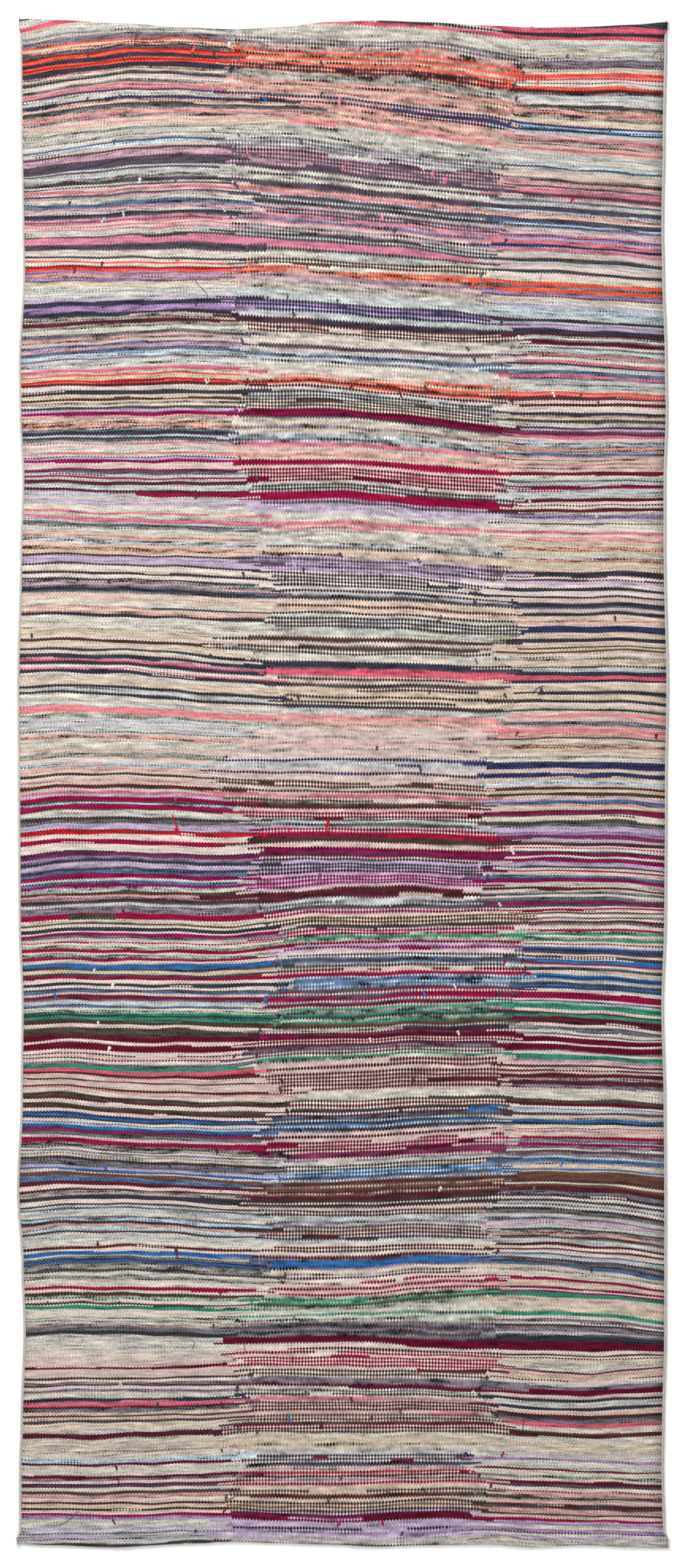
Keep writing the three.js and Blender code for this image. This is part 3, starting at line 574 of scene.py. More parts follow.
# Loose yarn ends lying on the face: yarn, thickness, then pairs of across and down.
LOOSE_ENDS = """
charcoal 1.2 -318 50 -309 53 -303 58 -303 66; slate 1.1 -177 51 -172 56 -163 58 -158 54;
cream 1.3 -160 33 -157 40 -152 42; ink 1.0 -206 362 -202 369 -195 376 -189 382 -187 392;
black 0.9 -138 1832 -137 1842 -135 1853; scarlet 2.0 -237 1104 -233 1118 -225 1136;
scarlet 1.8 -20 1110 -23 1121 -21 1133; ink 1.2 264 938 268 931 273 928 280 926;
slate 0.9 441 42 434 47 429 55; rose 0.9 276 356 273 365 272 372;
slate 1.0 -368 2071 -374 2078 -385 2088 -396 2091; mist 1.2 -184 92 -180 98 -182 105;
mist 1.2 -128 92 -131 97 -127 102; wine 0.9 -206 1838 -207 1842 -209 1847;
charcoal 1.0 -168 2062 -158 2056 -150 2051 -131 2050 -120 2053; black 1.0 250 1944 251 1953 249 1960;
plum 1.2 -149 1893 -146 1903 -147 1915; slate 0.9 -160 1609 -166 1616 -171 1630;
maroon 1.6 -230 1703 -231 1712 -230 1721; wine 1.5 -313 2024 -311 2032 -314 2038;
mist 1.1 -308 1890 -311 1895 -309 1900; sand 1.1 22 1805 26 1809 24 1813;
charcoal 1.0 -152 1610 -158 1618 -171 1628; mist 1.3 225 769 221 779 228 788;
slate 0.8 -206 1655 -204 1665 -206 1674; cream 1.2 -190 508 -185 503 -188 498;
olive 0.8 -6 152 -9 157 -5 161;
"""

# Each yarn's companions, which take its place now and then within a broad band.
COMPANIONS = """
sage drab mist ecru bluegrey; ecru sand sage blush mist cream; mist slate sky ecru sage;
cream ecru blush sand; peach salmon sand drab blush; blush salmon cream sand peach;
salmon drab rose blush rust; drab charcoal ecru salmon slate; sand ecru peach taupe cream;
pink rose raspberry; lilac purple mist plumgrey blush; plum charcoal plumgrey mauve;
plumgrey plum mist slate; charcoal slate black plum; slate plumgrey mist charcoal; sky mist denim lilac;
mauve plum rose mist; rose blush mauve raspberry; rust drab salmon peach; taupe drab sand;
tweed mist charcoal; bluegrey slate mist ink; purple lilac ink plumgrey; umber brown drab;
denim mist slate navy; moss green mist slate; crimson magenta maroon; magenta crimson plum;
maroon wine brown; brown olive maroon; blue denim navy; orange scarlet coral;
"""

# Spans of warm and cool yarns in the overcasting and their stitches, repeated along each edge.
OVERCAST_SPANS = """
sage 9 mist 6 ecru 5 slate 3 sky 4 sage 7 lilac 2 ecru 6 denim 3 mist 7 moss 4 sage 6 rose 2 ecru 5
bluegrey 5 navy 2 sky 3 mist 6 ecru 4 purple 2 sage 8 blue 2 mist 5 moss 5 ecru 6 salmon 1 sage 5
charcoal 1
"""


def srgb_to_linear(value: float) -> float:
    """A display value from 0 to 255 as a linear one from 0 to 1."""
    share = value / BRIGHTEST
    return share / 12.92 if share <= 0.04045 else ((share + 0.055) / 1.055) ** 2.4


@dataclass(frozen=True)
class Yarn:
    """One dyed rag yarn.

    Attributes:
        red, green, blue: Display shade, each from 0 to 255.
        mottle: How much single crossings stray from the shade, from 0 to 1.
    """

    red: int
    green: int
    blue: int
    mottle: float

    def rgba(self) -> tuple[float, float, float, float]:
        """The linear shade, with the mottle in the fourth place."""
        shade = [srgb_to_linear(value) for value in (self.red, self.green, self.blue)]
        return (shade[0], shade[1], shade[2], self.mottle)

    def depth(self) -> int:
        """How dark the shade is."""
        return 3 * BRIGHTEST - self.red - self.green - self.blue


SHELF: dict[str, Yarn] = {name: Yarn(*values) for name, values in YARNS.items()}


def place(across: float, down: float, height: float) -> Vector:
    """A point in metres from a place on the runner in millimetres.

    Args:
        across: Distance from the middle of the runner.
        down: Distance from the far rule.
        height: Distance above the floor.

    Returns:
        The point in the shared frame.
    """
    return Vector((across * MM, (FAR_RULE - down) * MM, height * MM))


def number_pairs(words: list[str]) -> np.ndarray:
    """Words of numbers as rows of two."""
    return np.array([float(word) for word in words]).reshape(-1, 2)


def entries(text: str) -> list[list[str]]:
    """The words of each entry of a table."""
    return [entry.split() for entry in text.split(";") if entry.strip()]


def warps_at(across: np.ndarray | float) -> np.ndarray | float:
    """A place across as a number of warps."""
    return (across + MAP_REACH) / WARP_PITCH


def eased(share: np.ndarray | float) -> np.ndarray | float:
    """A share from 0 to 1, slowed at both ends."""
    return share * share * (3.0 - 2.0 * share)


def overlaid(runs: Runs, start: float, stop: float, yarn: str) -> Runs:
    """A pick's runs with another yarn laid over one part of them.

    Args:
        runs: Where each yarn of the pick ends, and which yarn it is.
        start: The across where the laid yarn begins.
        stop: The across where it ends.
        yarn: The laid yarn.

    Returns:
        The new runs.
    """
    kept = []
    for end, old in runs:
        low = kept[-1][0] if kept else -BEYOND
        if end <= start or low >= stop:
            kept.append((end, old))
            continue
        if low < start:
            kept.append((start, old))
        kept.append((min(end, stop), yarn))
        if end > stop:
            kept.append((end, old))
    return kept


def read_runs(text: str) -> list[tuple[str, float]]:
    """A text of yarn and number pairs as a list."""
    words = text.split()
    return [(words[i], float(words[i + 1])) for i in range(0, len(words), 2)]


# The broad soft swells of the face: height, waves along and across, and their start.
SWELLS = ((0.28, 5.2, 0.7, 0.4), (0.2, 11.3, 1.6, 1.9), (0.16, 18.7, -2.3, 4.1))

# The woven ends as pairs of across and down, then the long edges as down and half width.
FAR_END = """
-450 0 -400 2 -320 6 -210 13 -150 15 -85 12 -20 5 45 3 110 5 200 10 265 13 330 12 400 9 450 5
"""
NEAR_END = """
-450 2117 -400 2119 -320 2122 -210 2117 -150 2114 -85 2116 -20 2118 45 2121 110 2119 200 2118 265 2122
330 2119 400 2122 450 2123
"""
LEFT_SELVEDGE = """
2 450 37 449 162 448 292 446 352 445 482 451 547 450 642 446 742 449 927 453 1062 452 1247 451 1372 447
1502 448 1627 453 1732 447 1822 444 1947 448 2012 450 2122 450
"""
RIGHT_SELVEDGE = """
2 451 37 450 162 448 292 446 352 447 482 451 547 452 642 449 742 449 927 453 1062 451 1247 450 1372 446
1502 449 1627 450 1732 450 1822 450 1947 447 2012 446 2102 448 2122 449
"""


def smooth_read(pairs: np.ndarray, where: np.ndarray | float) -> np.ndarray:
    """Values of a table of pairs, eased between its rows.

    Args:
        pairs: Rows of a place and a value, in rising order of place.
        where: The places to read.

    Returns:
        The eased values.
    """
    rows = np.clip(np.searchsorted(pairs[:, 0], where, side="right") - 1, 0, len(pairs) - 2)
    start, stop = pairs[rows], pairs[rows + 1]
    share = np.clip((where - start[..., 0]) / (stop[..., 0] - start[..., 0]), 0.0, 1.0)
    return start[..., 1] + (stop[..., 1] - start[..., 1]) * eased(share)


@dataclass
class Outline:
    """The edges of the runner as it lies.

    Attributes:
        far, near: Down of the woven ends at a place across.
        left, right: Half widths at a place down.
    """

    far: np.ndarray = field(default_factory=lambda: number_pairs(FAR_END.split()))
    near: np.ndarray = field(default_factory=lambda: number_pairs(NEAR_END.split()))
    left: np.ndarray = field(default_factory=lambda: number_pairs(LEFT_SELVEDGE.split()))
    right: np.ndarray = field(default_factory=lambda: number_pairs(RIGHT_SELVEDGE.split()))

    def selvedge(self, side: Side, down: np.ndarray | float) -> np.ndarray:
        """The across of a long edge at a place down."""
        table = self.left if side is Side.LEFT else self.right
        return side.value * smooth_read(table, down)


@dataclass
class Draft:
    """The weaver's draft: weft lines, the pairs of picks between them, and their yarns.

    Each length of yarn is folded at its own selvedge, so beside that selvedge it fills
    both picks of a pair. Its long leg alone goes on through the middle, so a row there is
    the leg of a yarn from the left or from the right by turns, unless MIDDLE_ROWS names one.

    Attributes:
        step: Spacing of the columns at which the weft lines are worked out.
        reach: How far those columns go to either side.
        pairs_before: Pairs woven before the first weft line.
        pairs_after: Pairs woven after the last one.
        smoothings: How many times the weft lines are smoothed.
        seed: Start of the random draws.
        turn_stray: How far the turns of the legs stray, in millimetres.
        broad: Picks past which a band is broad.
        mixing: How often a companion takes a yarn's place in a broad band.
        overhang: How far a darker yarn's floats reach into a lighter neighbour.
        contrast: The difference in depth between neighbours that counts as a full one.
        breaks: How many short stretches of each pick dip under a neighbour's yarn.
        break_reach: The least and the most that such a stretch reaches to either side.
    """

    step: float = 5.0
    reach: float = 470.0
    pairs_before: int = 14
    pairs_after: int = 4
    smoothings: int = 6
    seed: int = 11
    turn_stray: float = 18.0
    broad: int = 3
    mixing: float = 0.36
    overhang: float = 0.3
    contrast: int = 90
    breaks: float = 0.5
    break_reach: tuple[float, float] = (8.0, 45.0)
    columns: np.ndarray = field(init=False)
    lines: np.ndarray = field(init=False)
    starts: np.ndarray = field(init=False)
    picks: list[Runs] = field(init=False)

    def __post_init__(self) -> None:
        """Work out the lines and weave every pick."""
        self.columns = np.arange(-self.reach, self.reach + self.step, self.step)
        rows = [number_pairs(words) for words in entries(WEFT_LINES)]
        lines = np.array([np.interp(self.columns, row[:, 0], row[:, 1]) for row in rows])
        before = lines[:1] - self.pairs_before * PAIR_PITCH
        after = lines[-1:] + self.pairs_after * PAIR_PITCH
        lines = np.vstack([before, lines, after])
        for _ in range(self.smoothings):
            padded = np.pad(lines, ((0, 0), (1, 1)), mode="edge")
            lines = (padded[:, :-2] + 2.0 * lines + padded[:, 2:]) / 4.0
        self.lines = np.maximum.accumulate(lines, axis=0)
        gaps = np.diff(self.lines, axis=0).mean(axis=1)
        counts = np.maximum(1, np.round(gaps / PAIR_PITCH)).astype(int)
        self.starts = np.concatenate([[0], np.cumsum(counts)])
        self.picks = self.weave()

    def pick_at(self, across: float, down: float) -> float:
        """The number of the pick at a place on the cloth."""
        column = int(round((across - self.columns[0]) / self.step))
        return 2.0 * float(np.interp(down, self.lines[:, column], self.starts))

    def line_heights(self, across: np.ndarray) -> np.ndarray:
        """The down of every pair at places across.

        Args:
            across: The places, one for each column wanted.

        Returns:
            One row for each pair and one column for each place.
        """
        spots = np.array([np.interp(across, self.columns, line) for line in self.lines])
        pairs = np.arange(self.starts[-1] + 1)
        return np.array([np.interp(pairs, self.starts, spots[:, i]) for i in range(len(across))]).T

    def side_yarns(self, text: str, across: float, draws: random.Random) -> list[str]:
        """The yarn of every pick as woven from one side.

        Args:
            text: The side's yarns and the down where each begins.
            across: Where those were read.
            draws: The random draws.

        Returns:
            One yarn name for each pick.
        """
        total = 2 * int(self.starts[-1]) + 4
        yarns = ["ecru"] * total
        companions = {words[0]: words[1:] for words in entries(COMPANIONS)}
        begin = 0
        runs = read_runs(text)
        for number, (yarn, _) in enumerate(runs):
            end = total
            if number + 1 < len(runs):
                after, down = runs[number + 1]
                darker = SHELF[after].depth() > SHELF[yarn].depth()
                down += self.overhang if darker else -self.overhang
                end = max(int(round(self.pick_at(across, down))), begin + 1)
            shown = yarn
            for pick in range(begin, min(end, total)):
                if (pick - begin) % 2 == 0:
                    stray = end - begin > self.broad and draws.random() < self.mixing
                    shown = draws.choice(companions.get(yarn, [yarn])) if stray else yarn
                yarns[pick] = shown
            begin = end
        return yarns

    def turns(self, text: str, total: int) -> np.ndarray:
        """About where the short legs of a side's pairs stop."""
        table = number_pairs(text.split())
        places = [self.pick_at(across, down) / 2.0 for down, across in table]
        return np.interp(np.arange(total), places, table[:, 1])

    def middle(self, total: int) -> np.ndarray:
        """Both ends of the middle of each pair, where long legs alone are woven."""
        return np.stack([self.turns(LEFT_TURNS, total), self.turns(RIGHT_TURNS, total)], axis=1)

    def weave(self) -> list[Runs]:
        """Every pick as a list of where a yarn ends and which yarn it is."""
        draws = random.Random(self.seed)
        left = self.side_yarns(LEFT_WEFTS, -READ_ACROSS, draws)
        right = self.side_yarns(RIGHT_WEFTS, READ_ACROSS, draws)
        ends = self.middle(int(self.starts[-1]) + 2)
        rows = self.middle_rows()
        picks = []
        for pair in range(len(ends)):
            left_turn, right_turn = (
                float(end) + draws.gauss(0.0, self.turn_stray) for end in ends[pair]
            )
            leg = rows.get(pair) or (right if pair % 2 else left)[2 * pair]
            for pick in (2 * pair, 2 * pair + 1):
                picks.append([(left_turn, left[pick]), (right_turn, leg), (BEYOND, right[pick])])
        self.fray(picks, draws)
        for words in entries(INLAYS):
            self.lay_in(picks, words)
        return picks

    def middle_rows(self) -> dict[int, str]:
        """The yarns of those pairs of the middle that MIDDLE_ROWS names."""
        rows: dict[int, str] = {}
        for ground, *words in entries(MIDDLE_ROWS):
            first, last = (self.middle_pair(word) for word in words[:2])
            rows.update(dict.fromkeys(range(first, last), ground))
            for yarn, down in zip(words[2::2], words[3::2]):
                rows[self.middle_pair(down)] = yarn
        return rows

    def middle_pair(self, down: str) -> int:
        """The number of the pair at a down on the centre line."""
        return int(round(self.pick_at(0.0, float(down)) / 2.0))

    def fray(self, picks: list[Runs], draws: random.Random) -> None:
        """Let short stretches of the picks dip under a neighbour's yarn.

        Args:
            picks: Every pick's runs, changed in place.
            draws: The random draws.
        """
        for _ in range(int(self.breaks * len(picks))):
            pick = draws.randrange(3, len(picks) - 3)
            middle = draws.uniform(-NEAR_EDGE, NEAR_EDGE)
            reach = draws.uniform(*self.break_reach)
            beside = pick + draws.choice((-2, -1, 1, 2))
            yarn = self.yarn_at(picks[beside], middle)
            picks[pick] = overlaid(picks[pick], middle - reach, middle + reach, yarn)

    def yarn_at(self, runs: Runs, across: float) -> str:
        """The yarn of a pick at a place across."""
        return next((yarn for end, yarn in runs if end > across), runs[-1][1])

    def lay_in(self, picks: list[Runs], words: list[str]) -> None:
        """Lay one inlaid band over the picks that it covers.

        Args:
            picks: Every pick's runs, changed in place.
            words: The band's yarn, ends, reading place and edges.
        """
        start, stop, at = float(words[1]), float(words[2]), float(words[4])
        upper, lower = (self.pick_at(at, float(word)) for word in words[5:7])
        first = int(round(upper / 2.0))
        allowance = 0.2
        last = first + max(1, int((lower - upper) / 2.0 + allowance))
        for pick in range(2 * first, min(2 * last, len(picks))):
            picks[pick] = overlaid(picks[pick], start, stop, words[0])

    def runs_between(self, pick: int, low: float, high: float) -> tuple[str, str, float]:
        """The yarns of a pick at both sides of one face, and where it changes.

        Args:
            pick: The pick's number.
            low: The face's left edge.
            high: The face's right edge.

        Returns:
            The yarn at the left, the yarn at the right, and the across of the change.
        """
        runs = self.picks[min(pick, len(self.picks) - 1)]
        for number, (end, yarn) in enumerate(runs):
            if end > low:
                if end < high and number + 1 < len(runs):
                    return yarn, runs[number + 1][1], end
                return yarn, yarn, high
        return runs[-1][1], runs[-1][1], high


PICK_NAMES = ("first", "second", "third")


@dataclass
class Recipe:
    """A material's node tree, filled step by step.

    Attributes:
        name: The material's name.
    """

    name: str
    material: bpy.types.Material = field(init=False)
    tree: bpy.types.NodeTree = field(init=False)

    def __post_init__(self) -> None:
        """Start an empty tree."""
        self.material = bpy.data.materials.new(self.name)
        self.material.use_nodes = True
        self.tree = self.material.node_tree
        self.tree.nodes.clear()

    def node(self, kind: str, *sources: object, **settings: object) -> bpy.types.Node:
        """Add a node.

        Args:
            kind: The node's type, without its leading words.
            *sources: What feeds each input in turn, None leaving it as it is.
            **settings: Properties of the node.

        Returns:
            The new node.
        """
        made = self.tree.nodes.new("ShaderNode" + kind)
        for key, value in settings.items():
            setattr(made, key, value)
        for socket, source in zip(made.inputs, sources):
            self.feed(socket, source)
        return made

    def feed(self, socket: Socket, source: object) -> None:
        """Link a socket, or give it a value."""
        if isinstance(source, Socket):
            self.tree.links.new(source, socket)
        elif source is not None:
            socket.default_value = source

    def math(self, operation: str, *sources: object) -> Socket:
        """A number worked out from others."""
        return self.node("Math", *sources, operation=operation).outputs[0]

    def vector_math(self, operation: str, *sources: object) -> Socket:
        """A vector worked out from others."""
        return self.node("VectorMath", *sources, operation=operation).outputs[0]

    def triple(self, x: object, y: object, z: object = 0.0) -> Socket:
        """A vector of three numbers."""
        return self.node("CombineXYZ", x, y, z).outputs[0]

    def split(self, source: Socket) -> tuple[Socket, ...]:
        """The three numbers of a vector."""
        return tuple(self.node("SeparateXYZ", source).outputs)

    def blend(self, share: object, first: object, second: object) -> Socket:
        """A colour between two others."""
        mixed = self.node("Mix", data_type="RGBA", clamp_factor=True)
        self.feed(mixed.inputs[0], share)
        self.feed(mixed.inputs[6], first)
        self.feed(mixed.inputs[7], second)
        return mixed.outputs[2]

    def noise(self, where: object, scale: float, detail: float = 2.0) -> Socket:
        """Soft noise from 0 to 1."""
        made = self.node("TexNoise", where)
        made.inputs["Scale"].default_value = scale
        made.inputs["Detail"].default_value = detail
        return made.outputs[0]

    def speckle(self, where: object) -> bpy.types.Node:
        """A node with one random value and one random shade for each place."""
        made = self.node("TexWhiteNoise", noise_dimensions="3D")
        self.feed(made.inputs[0], where)
        return made

    def attribute(self, name: str) -> bpy.types.Node:
        """A node that reads one of the mesh's own attributes."""
        return self.node("Attribute", attribute_type="GEOMETRY", attribute_name=name)

    def cloth_surface(
        self, shade: Socket, relief: Socket, depth: float, sheen: float
    ) -> bpy.types.Material:
        """Close the tree with a dull woollen surface.

        Args:
            shade: The base shade.
            relief: Height from 0 to 1.
            depth: What a height of 1 stands for, in millimetres.
            sheen: Weight of the soft light that loose fibres catch.

        Returns:
            The finished material.
        """
        bump = self.node("Bump")
        bump.inputs["Strength"].default_value = 1.0
        bump.inputs["Distance"].default_value = depth * MM
        self.feed(bump.inputs["Height"], relief)
        surface = self.node("BsdfPrincipled")
        self.feed(surface.inputs["Base Color"], shade)
        self.feed(surface.inputs["Normal"], bump.outputs[0])
        surface.inputs["Roughness"].default_value = 0.95
        surface.inputs["Specular IOR Level"].default_value = 0.05
        surface.inputs["Sheen Weight"].default_value = sheen
        surface.inputs["Sheen Roughness"].default_value = 0.6
        self.node("OutputMaterial", surface.outputs[0])
        return self.material


@dataclass(frozen=True)
class RagWeave:
    """The woven face: rounded crossings of soft rag yarn over unseen warps, with painted shade in the gaps.

    Attributes:
        closeness: How quickly a crossing rounds down towards its sides.
        painted_gap_shade: Painted shade: the share of the yarn's colour left in the deepest gaps.
        crown: Brightness of a crossing's crown, where the painted shade is lightest.
        fibre: How strongly fine fibres vary the shade.
        depth: Height of a crossing in millimetres.
        spread: How far a dark yarn spreads over a light one where they alternate.
        wander: How far the warps wander, in warps.
        roundness: How quickly a crossing rounds down towards the next picks.
    """

    closeness: float = 1.1
    painted_gap_shade: float = 0.4
    crown: float = 0.79
    fibre: float = 0.22
    depth: float = 0.6
    spread: float = 0.2
    wander: float = 1.6
    roundness: float = 0.97

    def material(self) -> bpy.types.Material:
        """Build the weave from the cloth's weave map and its pick attributes."""
        r = Recipe("rag_weave")
        warps, pairs, _ = r.split(r.node("UVMap", uv_map="weave").outputs[0])
        pair = r.math("FLOOR", pairs)
        from_left, from_right, bias = r.split(r.attribute("middle").outputs["Vector"])
        past_left = r.math("GREATER_THAN", warps, from_left)
        before_right = r.math("LESS_THAN", warps, from_right)
        inside = r.math("MULTIPLY", past_left, before_right)
        share = r.math("SUBTRACT", 2.0, inside)
        picks = r.math("MULTIPLY", pairs, share)
        drift = r.noise(r.triple(r.math("MULTIPLY", warps, 0.1), r.math("MULTIPLY", pairs, 0.1)), 1.0)
        warps = r.math("MULTIPLY_ADD", drift, self.wander, warps)
        pick = r.math("FLOOR", picks)
        under = r.math("FLOOR", warps)
        offset = r.math("SUBTRACT", r.math("SUBTRACT", warps, under), 0.5)
        side = r.math("SIGN", offset)
        odd = r.math("FLOORED_MODULO", r.math("ADD", under, pick), 2.0)
        own = r.math("ADD", pick, odd)
        other = r.math("SUBTRACT", r.math("ADD", pick, 1.0), odd)
        own_height = self.dome(r, r.math("SUBTRACT", picks, own), offset)
        other_height = self.dome(r, r.math("SUBTRACT", picks, other), r.math("SUBTRACT", offset, side))
        ahead = r.math("SUBTRACT", own, r.math("MULTIPLY", pair, share))
        lead = r.math("MULTIPLY", r.math("MULTIPLY_ADD", ahead, -2.0, 1.0), r.math("MULTIPLY", bias, inside))
        lead = r.math("MULTIPLY_ADD", lead, self.spread, 1.0)
        other_lead = r.math("SUBTRACT", 2.0, lead)
        other_lifted = r.math("MULTIPLY", other_height, other_lead)
        own_lifted = r.math("MULTIPLY", own_height, lead)
        over = r.math("GREATER_THAN", other_lifted, own_lifted)
        height = r.math("SQRT", self.between(r, over, own_height, other_height))
        column = r.math("MULTIPLY_ADD", over, side, under)
        shown = self.between(r, over, own, other)
        crossing = r.speckle(r.triple(column, shown))
        ahead = r.math("SUBTRACT", shown, r.math("MULTIPLY", pair, share))
        shade, mottle = self.yarn_shade(r, warps, r.math("MULTIPLY", ahead, r.math("ADD", inside, 1.0)))
        streak = r.noise(r.triple(r.math("MULTIPLY", warps, 0.06), r.math("MULTIPLY", shown, 5.3)), 1.0, 3.0)
        shade = self.vary(r, shade, mottle, crossing, streak)
        place_in = r.node("TexCoord").outputs["Object"]
        fuzz = r.noise(r.vector_math("MULTIPLY", place_in, (1.0, 0.45, 1.0)), 1900.0, 3.0)
        # Painted shade: the colour darkens from the crown to the gaps as a crossing's height falls.
        light = r.math("MULTIPLY_ADD", height, self.crown - self.painted_gap_shade, self.painted_gap_shade)
        grain = r.math("MULTIPLY_ADD", fuzz, self.fibre * 2.0, 1.0 - self.fibre)
        light = r.math("MULTIPLY", light, grain)
        shade = r.vector_math("SCALE", shade, None, None, light)
        relief = r.math("MULTIPLY_ADD", fuzz, 0.12, height)
        return r.cloth_surface(shade, relief, self.depth, 0.03)

    def dome(self, r: Recipe, along: Socket, aside: Socket) -> Socket:
        """The square of a crossing's height at a distance from its middle."""
        along_share = self.falloff(r, along, self.roundness)
        return r.math("MULTIPLY", along_share, self.falloff(r, aside, self.closeness))

    def falloff(self, r: Recipe, distance: Socket, rate: float) -> Socket:
        """One at the middle, falling with the square of the distance."""
        square = r.math("MULTIPLY", distance, distance)
        return r.math("MAXIMUM", r.math("MULTIPLY_ADD", square, -rate, 1.0), 0.0)

    def yarn_shade(self, r: Recipe, warps: Socket, number: Socket) -> tuple[Socket, Socket]:
        """The shade and mottle of the pick that shows.

        Args:
            r: The tree.
            warps: Place across, in warps.
            number: Which of the face's three picks shows, from 0 to 2.

        Returns:
            The shade and the mottle.
        """
        turns = r.split(r.attribute("turn_at").outputs["Vector"])
        shade, mottle = None, None
        for order, (name, turn) in enumerate(zip(PICK_NAMES, turns)):
            past = r.math("GREATER_THAN", warps, turn)
            near, far = r.attribute(name + "_near"), r.attribute(name + "_far")
            leg = r.blend(past, near.outputs["Color"], far.outputs["Color"])
            leg_mottle = self.between(r, past, near.outputs["Alpha"], far.outputs["Alpha"])
            if shade is None:
                shade, mottle = leg, leg_mottle
                continue
            reached = r.math("GREATER_THAN", number, order - 0.5)
            shade = r.blend(reached, shade, leg)
            mottle = self.between(r, reached, mottle, leg_mottle)
        return shade, mottle

    def between(self, r: Recipe, share: Socket, first: Socket, second: Socket) -> Socket:
        """A number between two others."""
        return r.math("MULTIPLY_ADD", share, r.math("SUBTRACT", second, first), first)

    def vary(
        self,
        r: Recipe,
        shade: Socket,
        mottle: Socket,
        crossing: bpy.types.Node,
        streak: Socket,
    ) -> Socket:
        """Let each crossing stray from the yarn's shade.

        Args:
            r: The tree.
            shade: The yarn's shade.
            mottle: How far it may stray.
            crossing: The crossing's own random value and shade.
            streak: Soft change along the pick.

        Returns:
            The varied shade.
        """
        hue_reach, hue_shift = (0.4, 0.3, 0.5), (-0.2, -0.15, -0.25)
        value_reach, run_reach = 1.2, 14.0
        hue = r.vector_math("MULTIPLY_ADD", crossing.outputs["Color"], hue_reach, hue_shift)
        value = r.math("MULTIPLY_ADD", crossing.outputs["Value"], value_reach, -value_reach / 2.0)
        run = r.math("MULTIPLY_ADD", streak, run_reach, -run_reach / 2.0)
        tone = r.math("ADD", value, run)
        stray = r.vector_math("ADD", hue, r.triple(tone, tone, tone))
        least_mottle, darkest = 0.05, 0.06
        amount = r.math("ADD", mottle, least_mottle)
        factor = r.vector_math("MULTIPLY_ADD", stray, r.triple(amount, amount, amount), (1.0, 1.0, 1.0))
        factor = r.vector_math("MAXIMUM", factor, (darkest, darkest, darkest))
        return r.vector_math("MULTIPLY", shade, factor)


